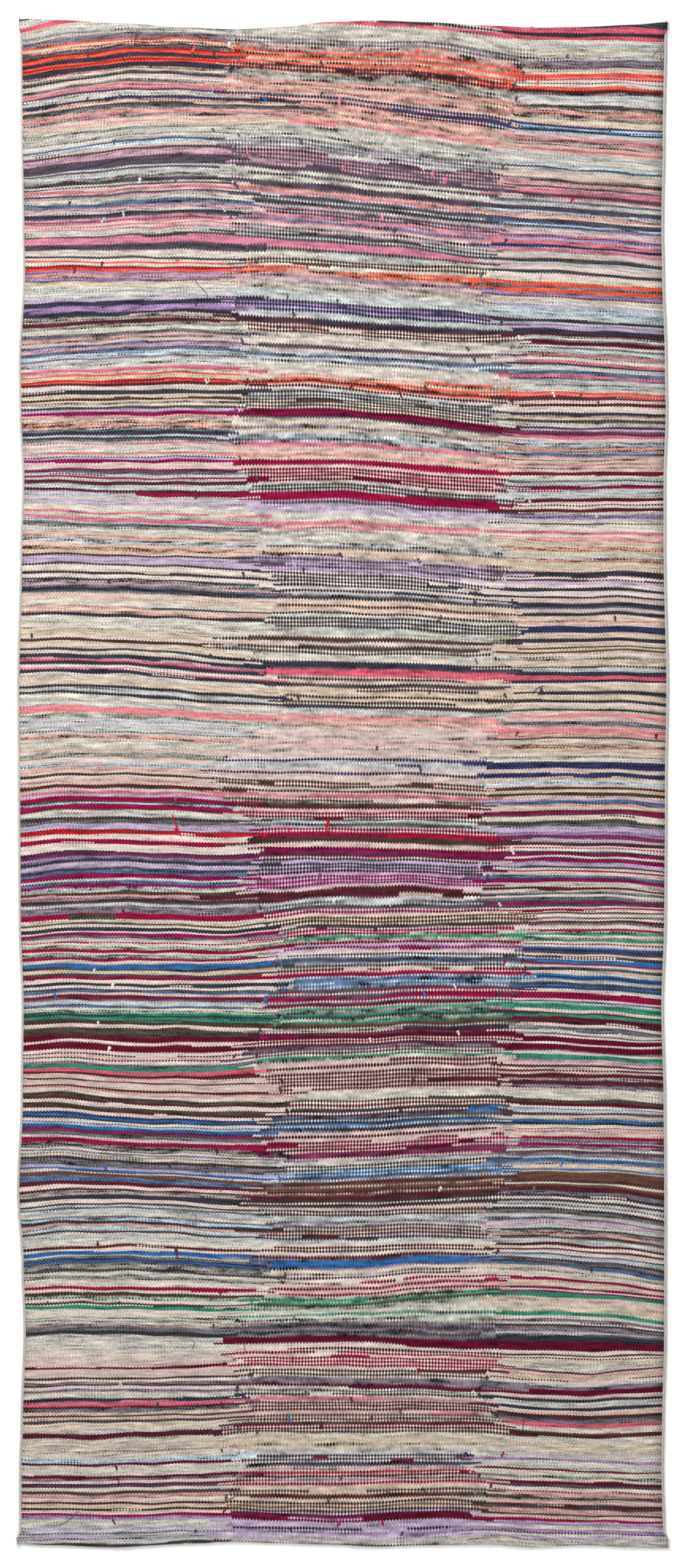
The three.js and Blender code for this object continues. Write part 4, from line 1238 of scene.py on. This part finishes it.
@dataclass
class WovenCloth:
    """The cloth, turned under at both woven ends.

    Attributes:
        draft: The weaver's draft.
        outline: The edges as they lie.
        columns: Faces across the cloth.
        half_width: Across of the outermost columns where the weave is worked out.
        seed: Start of the random draws.
        unevenness: How far the rows stray, in millimetres.
        least_gap: Share of its own gap that a row always keeps.
        thickness: The single layer, in millimetres.
        hem_thickness: The doubled layer at the ends.
        hem_depth: How far the second layer reaches in.
        hem_ease: The length over which the face comes down from the second layer.
        edge_inset: How far the long edges are drawn in under the edge cords.
        edge_lead: How far before the end of the second layer they begin to be drawn in.
        edge_ease: The length over which they are.
        corner_flare: How far the near corners stand out.
        edge_height: Height of the long edges, as a share of the face's.
        end_height: Height of the woven ends, as a share of the face's.
        end_reach: How near to the outline a place counts as a woven end.
    """

    draft: Draft
    outline: Outline
    columns: int = 54
    half_width: float = 448.0
    seed: int = 5
    unevenness: float = 0.6
    least_gap: float = 0.4
    thickness: float = 3.4
    hem_thickness: float = 5.0
    hem_depth: float = 18.0
    hem_ease: float = 5.0
    edge_inset: float = 3.4
    edge_lead: float = 4.0
    edge_ease: float = 6.0
    corner_flare: float = 3.0
    edge_height: float = 0.8
    end_height: float = 0.72
    end_reach: float = 0.3
    rows: int = field(init=False)
    across: np.ndarray = field(init=False)
    down: np.ndarray = field(init=False)
    pairs: np.ndarray = field(init=False)

    def __post_init__(self) -> None:
        """Place every pair of picks across the cloth, ending it at the outline."""
        nominal = np.linspace(-self.half_width, self.half_width, self.columns + 1)
        down = self.draft.line_heights(nominal)
        self.rows = len(down) - 1
        number = np.arange(self.rows + 1)[:, None] * np.ones(self.columns + 1)[None, :]
        draws = np.random.default_rng(self.seed)
        stray = draws.normal(0.0, 1.0, down.shape)
        for _ in range(2):
            stray = (np.roll(stray, 1, 1) + 2.0 * stray + np.roll(stray, -1, 1)) / 4.0
            stray = (np.roll(stray, 1, 0) + 2.0 * stray + np.roll(stray, -1, 0)) / 4.0
        stray *= self.unevenness / stray.std()
        gaps = np.diff(down + stray, axis=0)
        kept = np.maximum(gaps, self.least_gap * np.diff(down, axis=0))
        moved = np.vstack([down[:1], down[:1] + np.cumsum(kept, axis=0)])
        spread = np.cumsum(kept - gaps, axis=0)
        down = moved - np.vstack([np.zeros_like(down[:1]), self.follow(spread)])
        far = smooth_read(self.outline.far, nominal)
        near = smooth_read(self.outline.near, nominal)
        clipped = np.clip(down, far[None, :], near[None, :])
        for column in range(self.columns + 1):
            number[:, column] = np.interp(clipped[:, column], down[:, column], number[:, column])
        left = self.outline.selvedge(Side.LEFT, clipped) + self.inset(clipped)
        right = self.outline.selvedge(Side.RIGHT, clipped) - self.inset(clipped)
        share = np.linspace(0.0, 1.0, self.columns + 1)[None, :]
        self.across = left + (right - left) * share
        self.down = clipped
        self.pairs = number

    def follow(self, spread: np.ndarray) -> np.ndarray:
        """The slow part of what widened rows have added, to be taken back out.

        Args:
            spread: What has been added by each row.

        Returns:
            The same, smoothed along the runner.
        """
        reach = 8
        padded = np.pad(spread, ((reach, reach), (0, 0)), mode="edge")
        total = np.cumsum(np.vstack([np.zeros_like(padded[:1]), padded]), axis=0)
        return (total[2 * reach + 1:] - total[:-2 * reach - 1]) / (2 * reach + 1)

    def inset(self, down: np.ndarray) -> np.ndarray:
        """How far the cloth is drawn in at each place down.

        Args:
            down: The places.

        Returns:
            The inset, negative where the near corners stand out.
        """
        from_far, from_near = down - CLOTH_START, CLOTH_STOP - down
        to_far = np.clip((from_far - self.hem_depth + self.edge_lead) / self.edge_ease, 0.0, 1.0)
        to_near = np.clip((from_near - self.hem_depth + self.edge_lead) / self.edge_ease, 0.0, 1.0)
        inset = self.edge_inset * np.minimum(to_far, to_near)
        return inset - self.corner_flare * (1.0 - to_near)

    def height(self, across: np.ndarray | float, down: np.ndarray | float) -> np.ndarray | float:
        """The face's height: the cloth, its swells, and the second layer at the ends."""
        along = np.asarray(down) - CLOTH_START
        to_end = np.minimum(along, CLOTH_LENGTH - along)
        body = eased(np.clip((to_end - self.hem_depth) / self.hem_ease, 0.0, 1.0))
        turn = 2.0 * np.pi
        swell = 0.0
        for rise, waves, waves_across, start in SWELLS:
            phase_along = waves * along / CLOTH_LENGTH
            phase = turn * (phase_along + waves_across * np.asarray(across) / CLOTH_WIDTH)
            swell = swell + rise * np.sin(phase + start)
        return self.thickness + swell * body + (1.0 - body) * (self.hem_thickness - self.thickness)

    def grid(self) -> BMesh:
        """The woven face as a grid, each vertex and face keeping its number."""
        bm = bmesh.new()
        bmesh.ops.create_grid(bm, x_segments=self.columns, y_segments=self.rows, size=1.0)
        spot = bm.verts.layers.int.new("spot")
        cell = bm.faces.layers.int.new("cell")
        for vert in bm.verts:
            column = round((vert.co.x + 1.0) / 2.0 * self.columns)
            row = round((1.0 - vert.co.y) / 2.0 * self.rows)
            vert[spot] = row * (self.columns + 1) + column
        for face in bm.faces:
            low = min(vert[spot] for vert in face.verts)
            row, column = divmod(low, self.columns + 1)
            face[cell] = row * self.columns + column
        heights = self.height(self.across, self.down)
        edge = np.ones_like(heights)
        edge[:, 0] = edge[:, -1] = self.edge_height
        far = smooth_read(self.outline.far, self.across)
        near = smooth_read(self.outline.near, self.across)
        at_end = (self.down - far < self.end_reach) | (near - self.down < self.end_reach)
        edge *= np.where(at_end, self.end_height, 1.0)
        along = (FAR_RULE - self.down) * MM
        places = np.stack([self.across * MM, along, heights * edge * MM], axis=-1).reshape(-1, 3)
        for vert in bm.verts:
            vert.co = places[vert[spot]]
        bmesh.ops.remove_doubles(bm, verts=bm.verts, dist=WELD)
        slivers = [face for face in bm.faces if face.calc_area() < SLIVER]
        bmesh.ops.delete(bm, geom=slivers, context="FACES_ONLY")
        loose = [edge for edge in bm.edges if not edge.link_faces]
        bmesh.ops.delete(bm, geom=loose, context="EDGES")
        stray = [vert for vert in bm.verts if not vert.link_faces]
        bmesh.ops.delete(bm, geom=stray, context="VERTS")
        return bm

    def map_weave(self, bm: BMesh, faces: list[BMFace], shift: float) -> None:
        """Give faces their place in warps and pairs of picks.

        Args:
            bm: The cloth.
            faces: The faces of one side.
            shift: Warps by which that side's pattern is moved.
        """
        spot = bm.verts.layers.int["spot"]
        weave = bm.loops.layers.uv["weave"]
        pairs = self.pairs.reshape(-1)
        for face in faces:
            for loop in face.loops:
                warps = warps_at(loop.vert.co.x / MM) + shift
                loop[weave].uv = (warps, pairs[loop.vert[spot]])

    def build(self) -> bpy.types.Object:
        """Build the closed cloth and dress it."""
        bm = self.grid()
        bm.loops.layers.uv.new("weave")
        face_side = list(bm.faces)
        copied = bmesh.ops.duplicate(bm, geom=list(bm.verts) + list(bm.edges) + face_side)["geom"]
        under = [item for item in copied if isinstance(item, BMFace)]
        for item in copied:
            if isinstance(item, BMVert):
                item.co.z = 0.0
        bmesh.ops.reverse_faces(bm, faces=under)
        self.map_weave(bm, face_side, 0.0)
        self.map_weave(bm, under, 1.0)
        rims = [edge for edge in bm.edges if edge.is_boundary]
        made = bmesh.ops.bridge_loops(bm, edges=rims)["faces"]
        cell = bm.faces.layers.int["cell"]
        for face in made:
            beside = [other[cell] for edge in face.edges for other in edge.link_faces if other not in made]
            face[cell] = max(beside, default=0)
        self.map_weave(bm, made, 0.0)
        bmesh.ops.recalc_face_normals(bm, faces=bm.faces)
        mesh = bpy.data.meshes.new("woven_face")
        bm.to_mesh(mesh)
        bm.free()
        self.dye(mesh)
        mesh.materials.append(RagWeave().material())
        mesh.shade_smooth()
        piece = bpy.data.objects.new("woven_face", mesh)
        bpy.context.scene.collection.objects.link(piece)
        return piece

    def dye(self, mesh: bpy.types.Mesh) -> None:
        """Write the yarns of each face's three picks, and where the middle lies, as attributes.

        Args:
            mesh: The finished cloth.
        """
        cells = np.zeros(len(mesh.polygons), dtype=np.int32)
        mesh.attributes["cell"].data.foreach_get("value", cells)
        shades = np.zeros((6, self.rows * self.columns, 4), dtype=np.float32)
        turns = np.zeros((self.rows * self.columns, 3), dtype=np.float32)
        deeper = np.zeros(self.rows * self.columns, dtype=np.float32)
        for row in range(self.rows):
            for column in range(self.columns):
                number = row * self.columns + column
                low, high = self.across[row, column], self.across[row, column + 1]
                depths = []
                for leg in range(3):
                    near, far, change = self.draft.runs_between(2 * row + leg, low, high)
                    depths.append(SHELF[near].depth())
                    shades[leg * 2, number] = SHELF[near].rgba()
                    shades[leg * 2 + 1, number] = SHELF[far].rgba()
                    turns[number, leg] = warps_at(change)
                deeper[number] = np.clip((depths[0] - depths[2]) / self.draft.contrast, -1.0, 1.0)
        names = [name + end for name in PICK_NAMES for end in ("_near", "_far")]
        for index, name in enumerate(names):
            layer = mesh.attributes.new(name, "FLOAT_COLOR", "FACE")
            layer.data.foreach_set("color", shades[index][cells].reshape(-1))
        layer = mesh.attributes.new("turn_at", "FLOAT_VECTOR", "FACE")
        layer.data.foreach_set("vector", turns[cells].reshape(-1))
        middle = np.zeros((self.rows, self.columns, 3), dtype=np.float32)
        middle[:, :, :2] = warps_at(self.draft.middle(self.rows))[:, None, :]
        middle[:, :, 2] = deeper.reshape(self.rows, self.columns)
        layer = mesh.attributes.new("middle", "FLOAT_VECTOR", "FACE")
        layer.data.foreach_set("vector", middle.reshape(-1, 3)[cells].reshape(-1))


@dataclass(frozen=True)
class SpunYarn:
    """A soft spun yarn on cords, knots and loose ends, its shade kept by each face.

    Attributes:
        name: The material's name.
        fibre: How strongly fine fibres vary the shade.
        depth: Height of the fibre relief in millimetres.
    """

    name: str
    fibre: float = 0.3
    depth: float = 0.25

    def material(self) -> bpy.types.Material:
        """Build the yarn from the piece's shade attribute."""
        r = Recipe(self.name)
        yarn = r.attribute("yarn_shade")
        place_in = r.node("TexCoord").outputs["Object"]
        fuzz = r.noise(place_in, 1500.0, 3.0)
        patch = r.noise(place_in, 260.0, 2.0)
        spread = r.math("MULTIPLY", yarn.outputs["Alpha"], 2.4)
        tone = r.math("MULTIPLY_ADD", r.math("SUBTRACT", patch, 0.5), spread, 1.0)
        grain = r.math("MULTIPLY_ADD", fuzz, self.fibre * 2.0, 1.0 - self.fibre)
        shade = r.vector_math("SCALE", yarn.outputs["Color"], None, None, r.math("MULTIPLY", tone, grain))
        return r.cloth_surface(shade, fuzz, self.depth, 0.08)


def add_piece(name: str, bm: BMesh, material: bpy.types.Material) -> bpy.types.Object:
    """Turn a bmesh into a smooth piece in the scene.

    Args:
        name: The piece's name.
        bm: Its shape, freed here.
        material: Its finish.

    Returns:
        The new object.
    """
    bmesh.ops.recalc_face_normals(bm, faces=bm.faces)
    mesh = bpy.data.meshes.new(name)
    bm.to_mesh(mesh)
    bm.free()
    mesh.materials.append(material)
    mesh.shade_smooth()
    piece = bpy.data.objects.new(name, mesh)
    bpy.context.scene.collection.objects.link(piece)
    return piece


def start_yarn_piece() -> BMesh:
    """A new bmesh whose faces hold a yarn shade."""
    bm = bmesh.new()
    bm.faces.layers.float_color.new("yarn_shade")
    return bm


def dye_faces(bm: BMesh, faces: list[BMFace], yarn: str, light: float = 1.0) -> None:
    """Give faces a yarn's shade.

    Args:
        bm: The piece.
        faces: The faces to dye.
        yarn: The yarn's name.
        light: Brightness against the yarn's own.
    """
    layer = bm.faces.layers.float_color["yarn_shade"]
    red, green, blue, mottle = SHELF[yarn].rgba()
    for face in faces:
        face[layer] = (red * light, green * light, blue * light, mottle)


def along_route(points: list[Vector], number: int) -> Matrix:
    """The frame of a route at one of its points, its Z axis along the route."""
    before, after = points[max(number - 1, 0)], points[min(number + 1, len(points) - 1)]
    forward = (after - before).normalized()
    aside = Vector((0.0, 0.0, 1.0)).cross(forward).normalized()
    up = forward.cross(aside)
    turned = Matrix((aside, up, forward)).transposed().to_4x4()
    return Matrix.Translation(points[number]) @ turned


def edges_of(ring: list[BMVert]) -> list[BMEdge]:
    """The edges of a ring of vertices, each once and in the same order on every run."""
    return list(dict.fromkeys(edge for vert in ring for edge in vert.link_edges))


def draw_tube(bm: BMesh, points: list[Vector], radius: float, sides: int) -> list[BMFace]:
    """Draw a round strand along a route, thinner at its two ends.

    Args:
        bm: The piece that it joins.
        points: The route.
        radius: The strand's radius in metres.
        sides: Faces round it.

    Returns:
        The strand's faces.
    """
    known = set(bm.faces)
    here = along_route(points, 0)
    end_size = 0.55
    narrow = Matrix.Diagonal((end_size, end_size, 1.0, 1.0))
    ring = bmesh.ops.create_circle(
        bm, cap_ends=False, radius=radius, segments=sides, matrix=here @ narrow
    )["verts"]
    edges = edges_of(ring)
    first = list(edges)
    previous = here @ narrow
    for number in range(1, len(points)):
        made = bmesh.ops.extrude_edge_only(bm, edges=edges)["geom"]
        here = along_route(points, number)
        last = number == len(points) - 1
        here = here @ narrow if last else here
        verts = [item for item in made if isinstance(item, BMVert)]
        edges = [item for item in made if isinstance(item, BMEdge)]
        bmesh.ops.transform(bm, matrix=here @ previous.inverted(), verts=verts)
        previous = here
    bmesh.ops.edgeloop_fill(bm, edges=first)
    bmesh.ops.edgeloop_fill(bm, edges=edges)
    return [face for face in bm.faces if face not in known]


@dataclass
class EdgeCord:
    """One long edge: a cord rolled into the selvedge and bound down with stitches.

    Attributes:
        side: The edge that it binds.
        cloth: The cloth that it binds.
        width: Across the bound cord, in millimetres.
        pitch: From one stitch to the next.
        stitch: Thickness of the binding yarn.
        core_span: Down of the cord's two ends.
        core_points: Points along the cord.
        core_height: Height of the cord's middle.
        core_radius: The cord's own radius.
        stitched_span: Down of the first stitch, and where the stitches stop.
        stitch_turn: How far a stitch goes round the cord, in degrees.
        stitch_tilt: How far it is then turned about the cord, in degrees.
        seed: Start of the random draws.
    """

    side: Side
    cloth: WovenCloth
    width: float = 4.6
    pitch: float = 3.1
    stitch: float = 1.5
    core_span: tuple[float, float] = (5.0, 2117.0)
    core_points: int = 240
    core_height: float = 2.1
    core_radius: float = 1.75
    stitched_span: tuple[float, float] = (3.0, 2121.0)
    stitch_turn: float = 250.0
    stitch_tilt: float = -35.0
    seed: int = 3

    def middle(self, down: float) -> float:
        """Where the cord's middle runs at a place down."""
        edge = float(self.cloth.outline.selvedge(self.side, down))
        out = min(float(self.cloth.inset(np.array(down))), 0.0)
        return edge - self.side.value * (self.width / 2.0 + out)

    def core(self, bm: BMesh) -> None:
        """The cord itself, seen between the stitches."""
        steps = np.linspace(*self.core_span, self.core_points)
        points = [place(self.middle(down), down, self.core_height) for down in steps]
        faces = draw_tube(bm, points, self.core_radius * MM, 8)
        in_shade = 0.8
        dye_faces(bm, faces, "sage", in_shade)

    def template(self) -> BMesh:
        """One stitch: a strand bent round the cord, open towards the cloth."""
        bm = start_yarn_piece()
        upright = Matrix.Rotation(math.pi / 2.0, 4, "X")
        start = Matrix.Translation((self.width / 2.0 * MM, 0.0, 0.0)) @ upright
        ring = bmesh.ops.create_circle(
            bm, cap_ends=True, radius=self.stitch / 2.0 * MM, segments=6, matrix=start
        )["verts"]
        edges = edges_of(ring)
        centre, turn = (0.0, 0.0, 0.0), math.radians(self.stitch_turn)
        swept = bmesh.ops.spin(
            bm, geom=edges, cent=centre, axis=(0.0, 1.0, 0.0), angle=turn, steps=8
        )["geom_last"]
        last = [item for item in swept if isinstance(item, BMEdge)]
        bmesh.ops.edgeloop_fill(bm, edges=last)
        tilt = Matrix.Rotation(math.radians(self.stitch_tilt), 3, "Y")
        bmesh.ops.rotate(bm, verts=bm.verts, cent=centre, matrix=tilt)
        bmesh.ops.recalc_face_normals(bm, faces=bm.faces)
        return bm

    def build(self, name: str) -> bpy.types.Object:
        """Build the bound edge.

        Args:
            name: The piece's name.

        Returns:
            The finished piece.
        """
        draws = random.Random(self.seed + self.side.value)
        bm = start_yarn_piece()
        self.core(bm)
        pattern = self.template()
        mesh = bpy.data.meshes.new("stitch")
        pattern.to_mesh(mesh)
        pattern.free()
        spans = read_runs(OVERCAST_SPANS)
        start = draws.randrange(len(spans))
        spans = spans[start:] + spans[:start]
        down, stop = self.stitched_span
        span = 0
        left = spans[0][1]
        while down < stop:
            if left <= 0:
                span = (span + 1) % len(spans)
                left = spans[span][1] + draws.choice((-1, 0, 0, 1, 2))
            left -= 1
            self.sew(bm, mesh, down, spans[span][0], draws)
            down += self.pitch * draws.uniform(0.75, 1.25)
        bpy.data.meshes.remove(mesh)
        return add_piece(name, bm, SpunYarn("overcast_yarn").material())

    def sew(
        self, bm: BMesh, mesh: bpy.types.Mesh, down: float, yarn: str, draws: random.Random
    ) -> None:
        """Add one stitch.

        Args:
            bm: The edge so far.
            mesh: The stitch's own shape.
            down: Where it goes.
            yarn: Its yarn.
            draws: The random draws.
        """
        known_verts, known_faces = len(bm.verts), len(bm.faces)
        bm.from_mesh(mesh)
        bm.verts.ensure_lookup_table()
        bm.faces.ensure_lookup_table()
        verts = bm.verts[known_verts:]
        faces = bm.faces[known_faces:]
        tall = float(self.cloth.height(self.side.value * NEAR_EDGE, down)) / 2.0
        reach = (self.width + self.stitch) / 2.0
        size = Matrix.Diagonal((draws.uniform(0.9, 1.12), draws.uniform(0.85, 1.2), tall / reach, 1.0))
        turn = Matrix.Rotation(draws.uniform(0.1, 0.5) * self.side.value, 4, "Z")
        flip = Matrix.Diagonal((float(self.side.value), 1.0, 1.0, 1.0))
        spot = Matrix.Translation(place(self.middle(down), down, tall))
        bmesh.ops.transform(bm, matrix=spot @ turn @ flip @ size, verts=verts)
        dye_faces(bm, faces, yarn, draws.uniform(0.85, 1.08))


@dataclass
class Knots:
    """The knots and tucked ends that stand on the woven face.

    Attributes:
        cloth: The cloth that they stand on.
        long_from: Length from which a knot has three lumps instead of two.
        seed: Start of the random draws.
    """

    cloth: WovenCloth
    long_from: float = 11.0
    seed: int = 8

    def build(self) -> bpy.types.Object:
        """Build every knot as small lumps of yarn in a row."""
        draws = random.Random(self.seed)
        bm = start_yarn_piece()
        for yarn, *words in entries(KNOTS):
            across, down, length = (float(word) for word in words)
            self.tie(bm, yarn, across, down, length, draws)
        return add_piece("knots", bm, SpunYarn("knot_yarn", 0.35, 0.4).material())

    def tie(
        self,
        bm: BMesh,
        yarn: str,
        across: float,
        down: float,
        length: float,
        draws: random.Random,
    ) -> None:
        """Add one knot.

        Args:
            bm: The knots so far.
            yarn: Its yarn.
            across: Its place across.
            down: Its place down.
            length: Its length along the runner.
            draws: The random draws.
        """
        fullness = (1.0, 0.75) if length < self.long_from else (0.6, 1.0, 0.65)
        lean = draws.uniform(-0.45, 0.45)
        for lump, full in enumerate(fullness):
            share = (lump + 0.5) / len(fullness) - 0.5
            long = length / len(fullness) * draws.uniform(0.42, 0.55)
            wide = (1.2 + 0.09 * length) * full * draws.uniform(0.85, 1.2)
            spot_across = across + lean * share * length + draws.uniform(-0.6, 0.6)
            spot_down = down + share * length * 0.8
            face = float(self.cloth.height(across, spot_down))
            size = Matrix.Diagonal((wide, long, 1.1 * full, 1.0))
            turn = Matrix.Rotation(draws.uniform(-0.8, 0.8), 4, "Z")
            spot = Matrix.Translation(place(spot_across, spot_down, face + 0.1))
            lump_frame = spot @ turn @ size
            made = bmesh.ops.create_icosphere(bm, subdivisions=2, radius=MM, matrix=lump_frame)["verts"]
            for vert in made:
                vert.co += Vector([draws.uniform(-0.3, 0.3) * MM for _ in range(3)])
            faces = list({face for vert in made for face in vert.link_faces})
            dye_faces(bm, faces, yarn, draws.uniform(0.85, 1.15))


@dataclass
class LooseEnds:
    """Yarn ends that lie loose on the woven face.

    Attributes:
        cloth: The cloth that they lie on.
    """

    cloth: WovenCloth

    def build(self) -> bpy.types.Object:
        """Build every loose end as a thin strand."""
        bm = start_yarn_piece()
        for words in entries(LOOSE_ENDS):
            self.lay(bm, words)
        return add_piece("loose_ends", bm, SpunYarn("loose_yarn").material())

    def lay(self, bm: BMesh, words: list[str]) -> None:
        """Add one strand from its words."""
        thick = float(words[1])
        corners = number_pairs(words[2:])
        steps = np.linspace(0.0, len(corners) - 1.0, len(corners) * 3)
        count = np.arange(len(corners))
        points = []
        for step in steps:
            across = float(np.interp(step, count, corners[:, 0]))
            down = float(np.interp(step, count, corners[:, 1]))
            arch = math.sin(math.pi * step / (len(corners) - 1.0))
            height = float(self.cloth.height(across, down)) + thick * (0.2 + 0.5 * arch)
            points.append(place(across, down, height))
        faces = draw_tube(bm, points, thick / 2.0 * MM, 6)
        dye_faces(bm, faces, words[0])


@dataclass
class Studio:
    """The floor, the light and the camera that looks straight down.

    Attributes:
        view_height: Length that the picture's long side takes in, in millimetres.
        centre: The picture's middle, across and down.
        floor_size: Half width of the floor in metres.
        floor_drop: How far the floor lies under the runner in metres.
        camera_height: Height of the camera in millimetres.
    """

    view_height: float = 2176.2
    centre: tuple[float, float] = (0.8, 1062.7)
    floor_size: float = 6.0
    floor_drop: float = 0.0002
    camera_height: float = 3000.0

    def lay_floor(self) -> None:
        """Lay the pale floor."""
        bm = bmesh.new()
        bmesh.ops.create_grid(bm, x_segments=1, y_segments=1, size=self.floor_size)
        bmesh.ops.translate(bm, verts=bm.verts, vec=(0.0, 0.0, -self.floor_drop))
        floor = add_piece("floor", bm, self.floor_finish())

    def floor_finish(self) -> bpy.types.Material:
        """A matt white floor."""
        r = Recipe("pale_floor")
        surface = r.node("BsdfPrincipled")
        surface.inputs["Base Color"].default_value = (0.92, 0.92, 0.92, 1.0)
        surface.inputs["Roughness"].default_value = 0.9
        surface.inputs["Specular IOR Level"].default_value = 0.1
        r.node("OutputMaterial", surface.outputs[0])
        return r.material

    def hang_light(self, name: str, spot: Vector, size: float, power: float) -> None:
        """Hang one soft square light that faces the runner.

        Args:
            name: The light's name.
            spot: Where it hangs.
            size: Its side in metres.
            power: Its power in watts.
        """
        light = bpy.data.lights.new(name, "AREA")
        light.shape = "SQUARE"
        light.size = size
        light.energy = power
        lamp = bpy.data.objects.new(name, light)
        lamp.location = spot
        lamp.rotation_mode = "QUATERNION"
        lamp.rotation_quaternion = (-spot).to_track_quat("-Z", "Y")
        bpy.context.scene.collection.objects.link(lamp)

    def light(self) -> None:
        """Soft light from above, a little stronger from the far left."""
        world = bpy.data.worlds.new("studio")
        world.use_nodes = True
        background = world.node_tree.nodes["Background"]
        background.inputs["Color"].default_value = (1.0, 1.0, 1.0, 1.0)
        background.inputs["Strength"].default_value = 0.5
        bpy.context.scene.world = world
        bpy.context.scene.view_settings.view_transform = "Standard"
        bpy.context.scene.cycles.use_denoising = False
        self.hang_light("key_light", Vector((-1.6, 1.8, 2.6)), 1.6, 115.0)
        self.hang_light("fill_light", Vector((0.8, -0.6, 4.0)), 3.0, 62.0)

    def set_camera(self) -> None:
        """Point the camera straight down, with the far end at the top of the picture."""
        camera = bpy.data.cameras.new("camera")
        camera.type = "ORTHO"
        camera.ortho_scale = self.view_height * MM
        camera.clip_end = 20.0
        holder = bpy.data.objects.new("camera", camera)
        holder.location = place(self.centre[0], self.centre[1], self.camera_height)
        bpy.context.scene.collection.objects.link(holder)
        bpy.context.scene.camera = holder


def main() -> None:
    """Build the runner and its studio."""
    logging.basicConfig(level=logging.INFO, format="%(message)s")
    studio = Studio()
    studio.lay_floor()
    studio.light()
    studio.set_camera()
    log.info("studio ready")
    cloth = WovenCloth(Draft(), Outline())
    woven_face = cloth.build()
    log.info("woven_face: %d faces", len(woven_face.data.polygons))
    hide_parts("woven_cloth")
    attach(woven_face, "root")
    for side, name, node in (
        (Side.LEFT, "left_binding", "edge_cord_left"),
        (Side.RIGHT, "right_binding", "edge_cord_right"),
    ):
        binding = EdgeCord(side, cloth).build(name)
        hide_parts(node)
        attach(binding, "root")
        log.info("%s: %d faces", name, len(binding.data.polygons))
    extras = [Knots(cloth).build(), LooseEnds(cloth).build()]
    for piece in extras:
        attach(piece, "root")
        log.info("%s: %d faces", piece.name, len(piece.data.polygons))


if __name__ == "__main__":
    main()
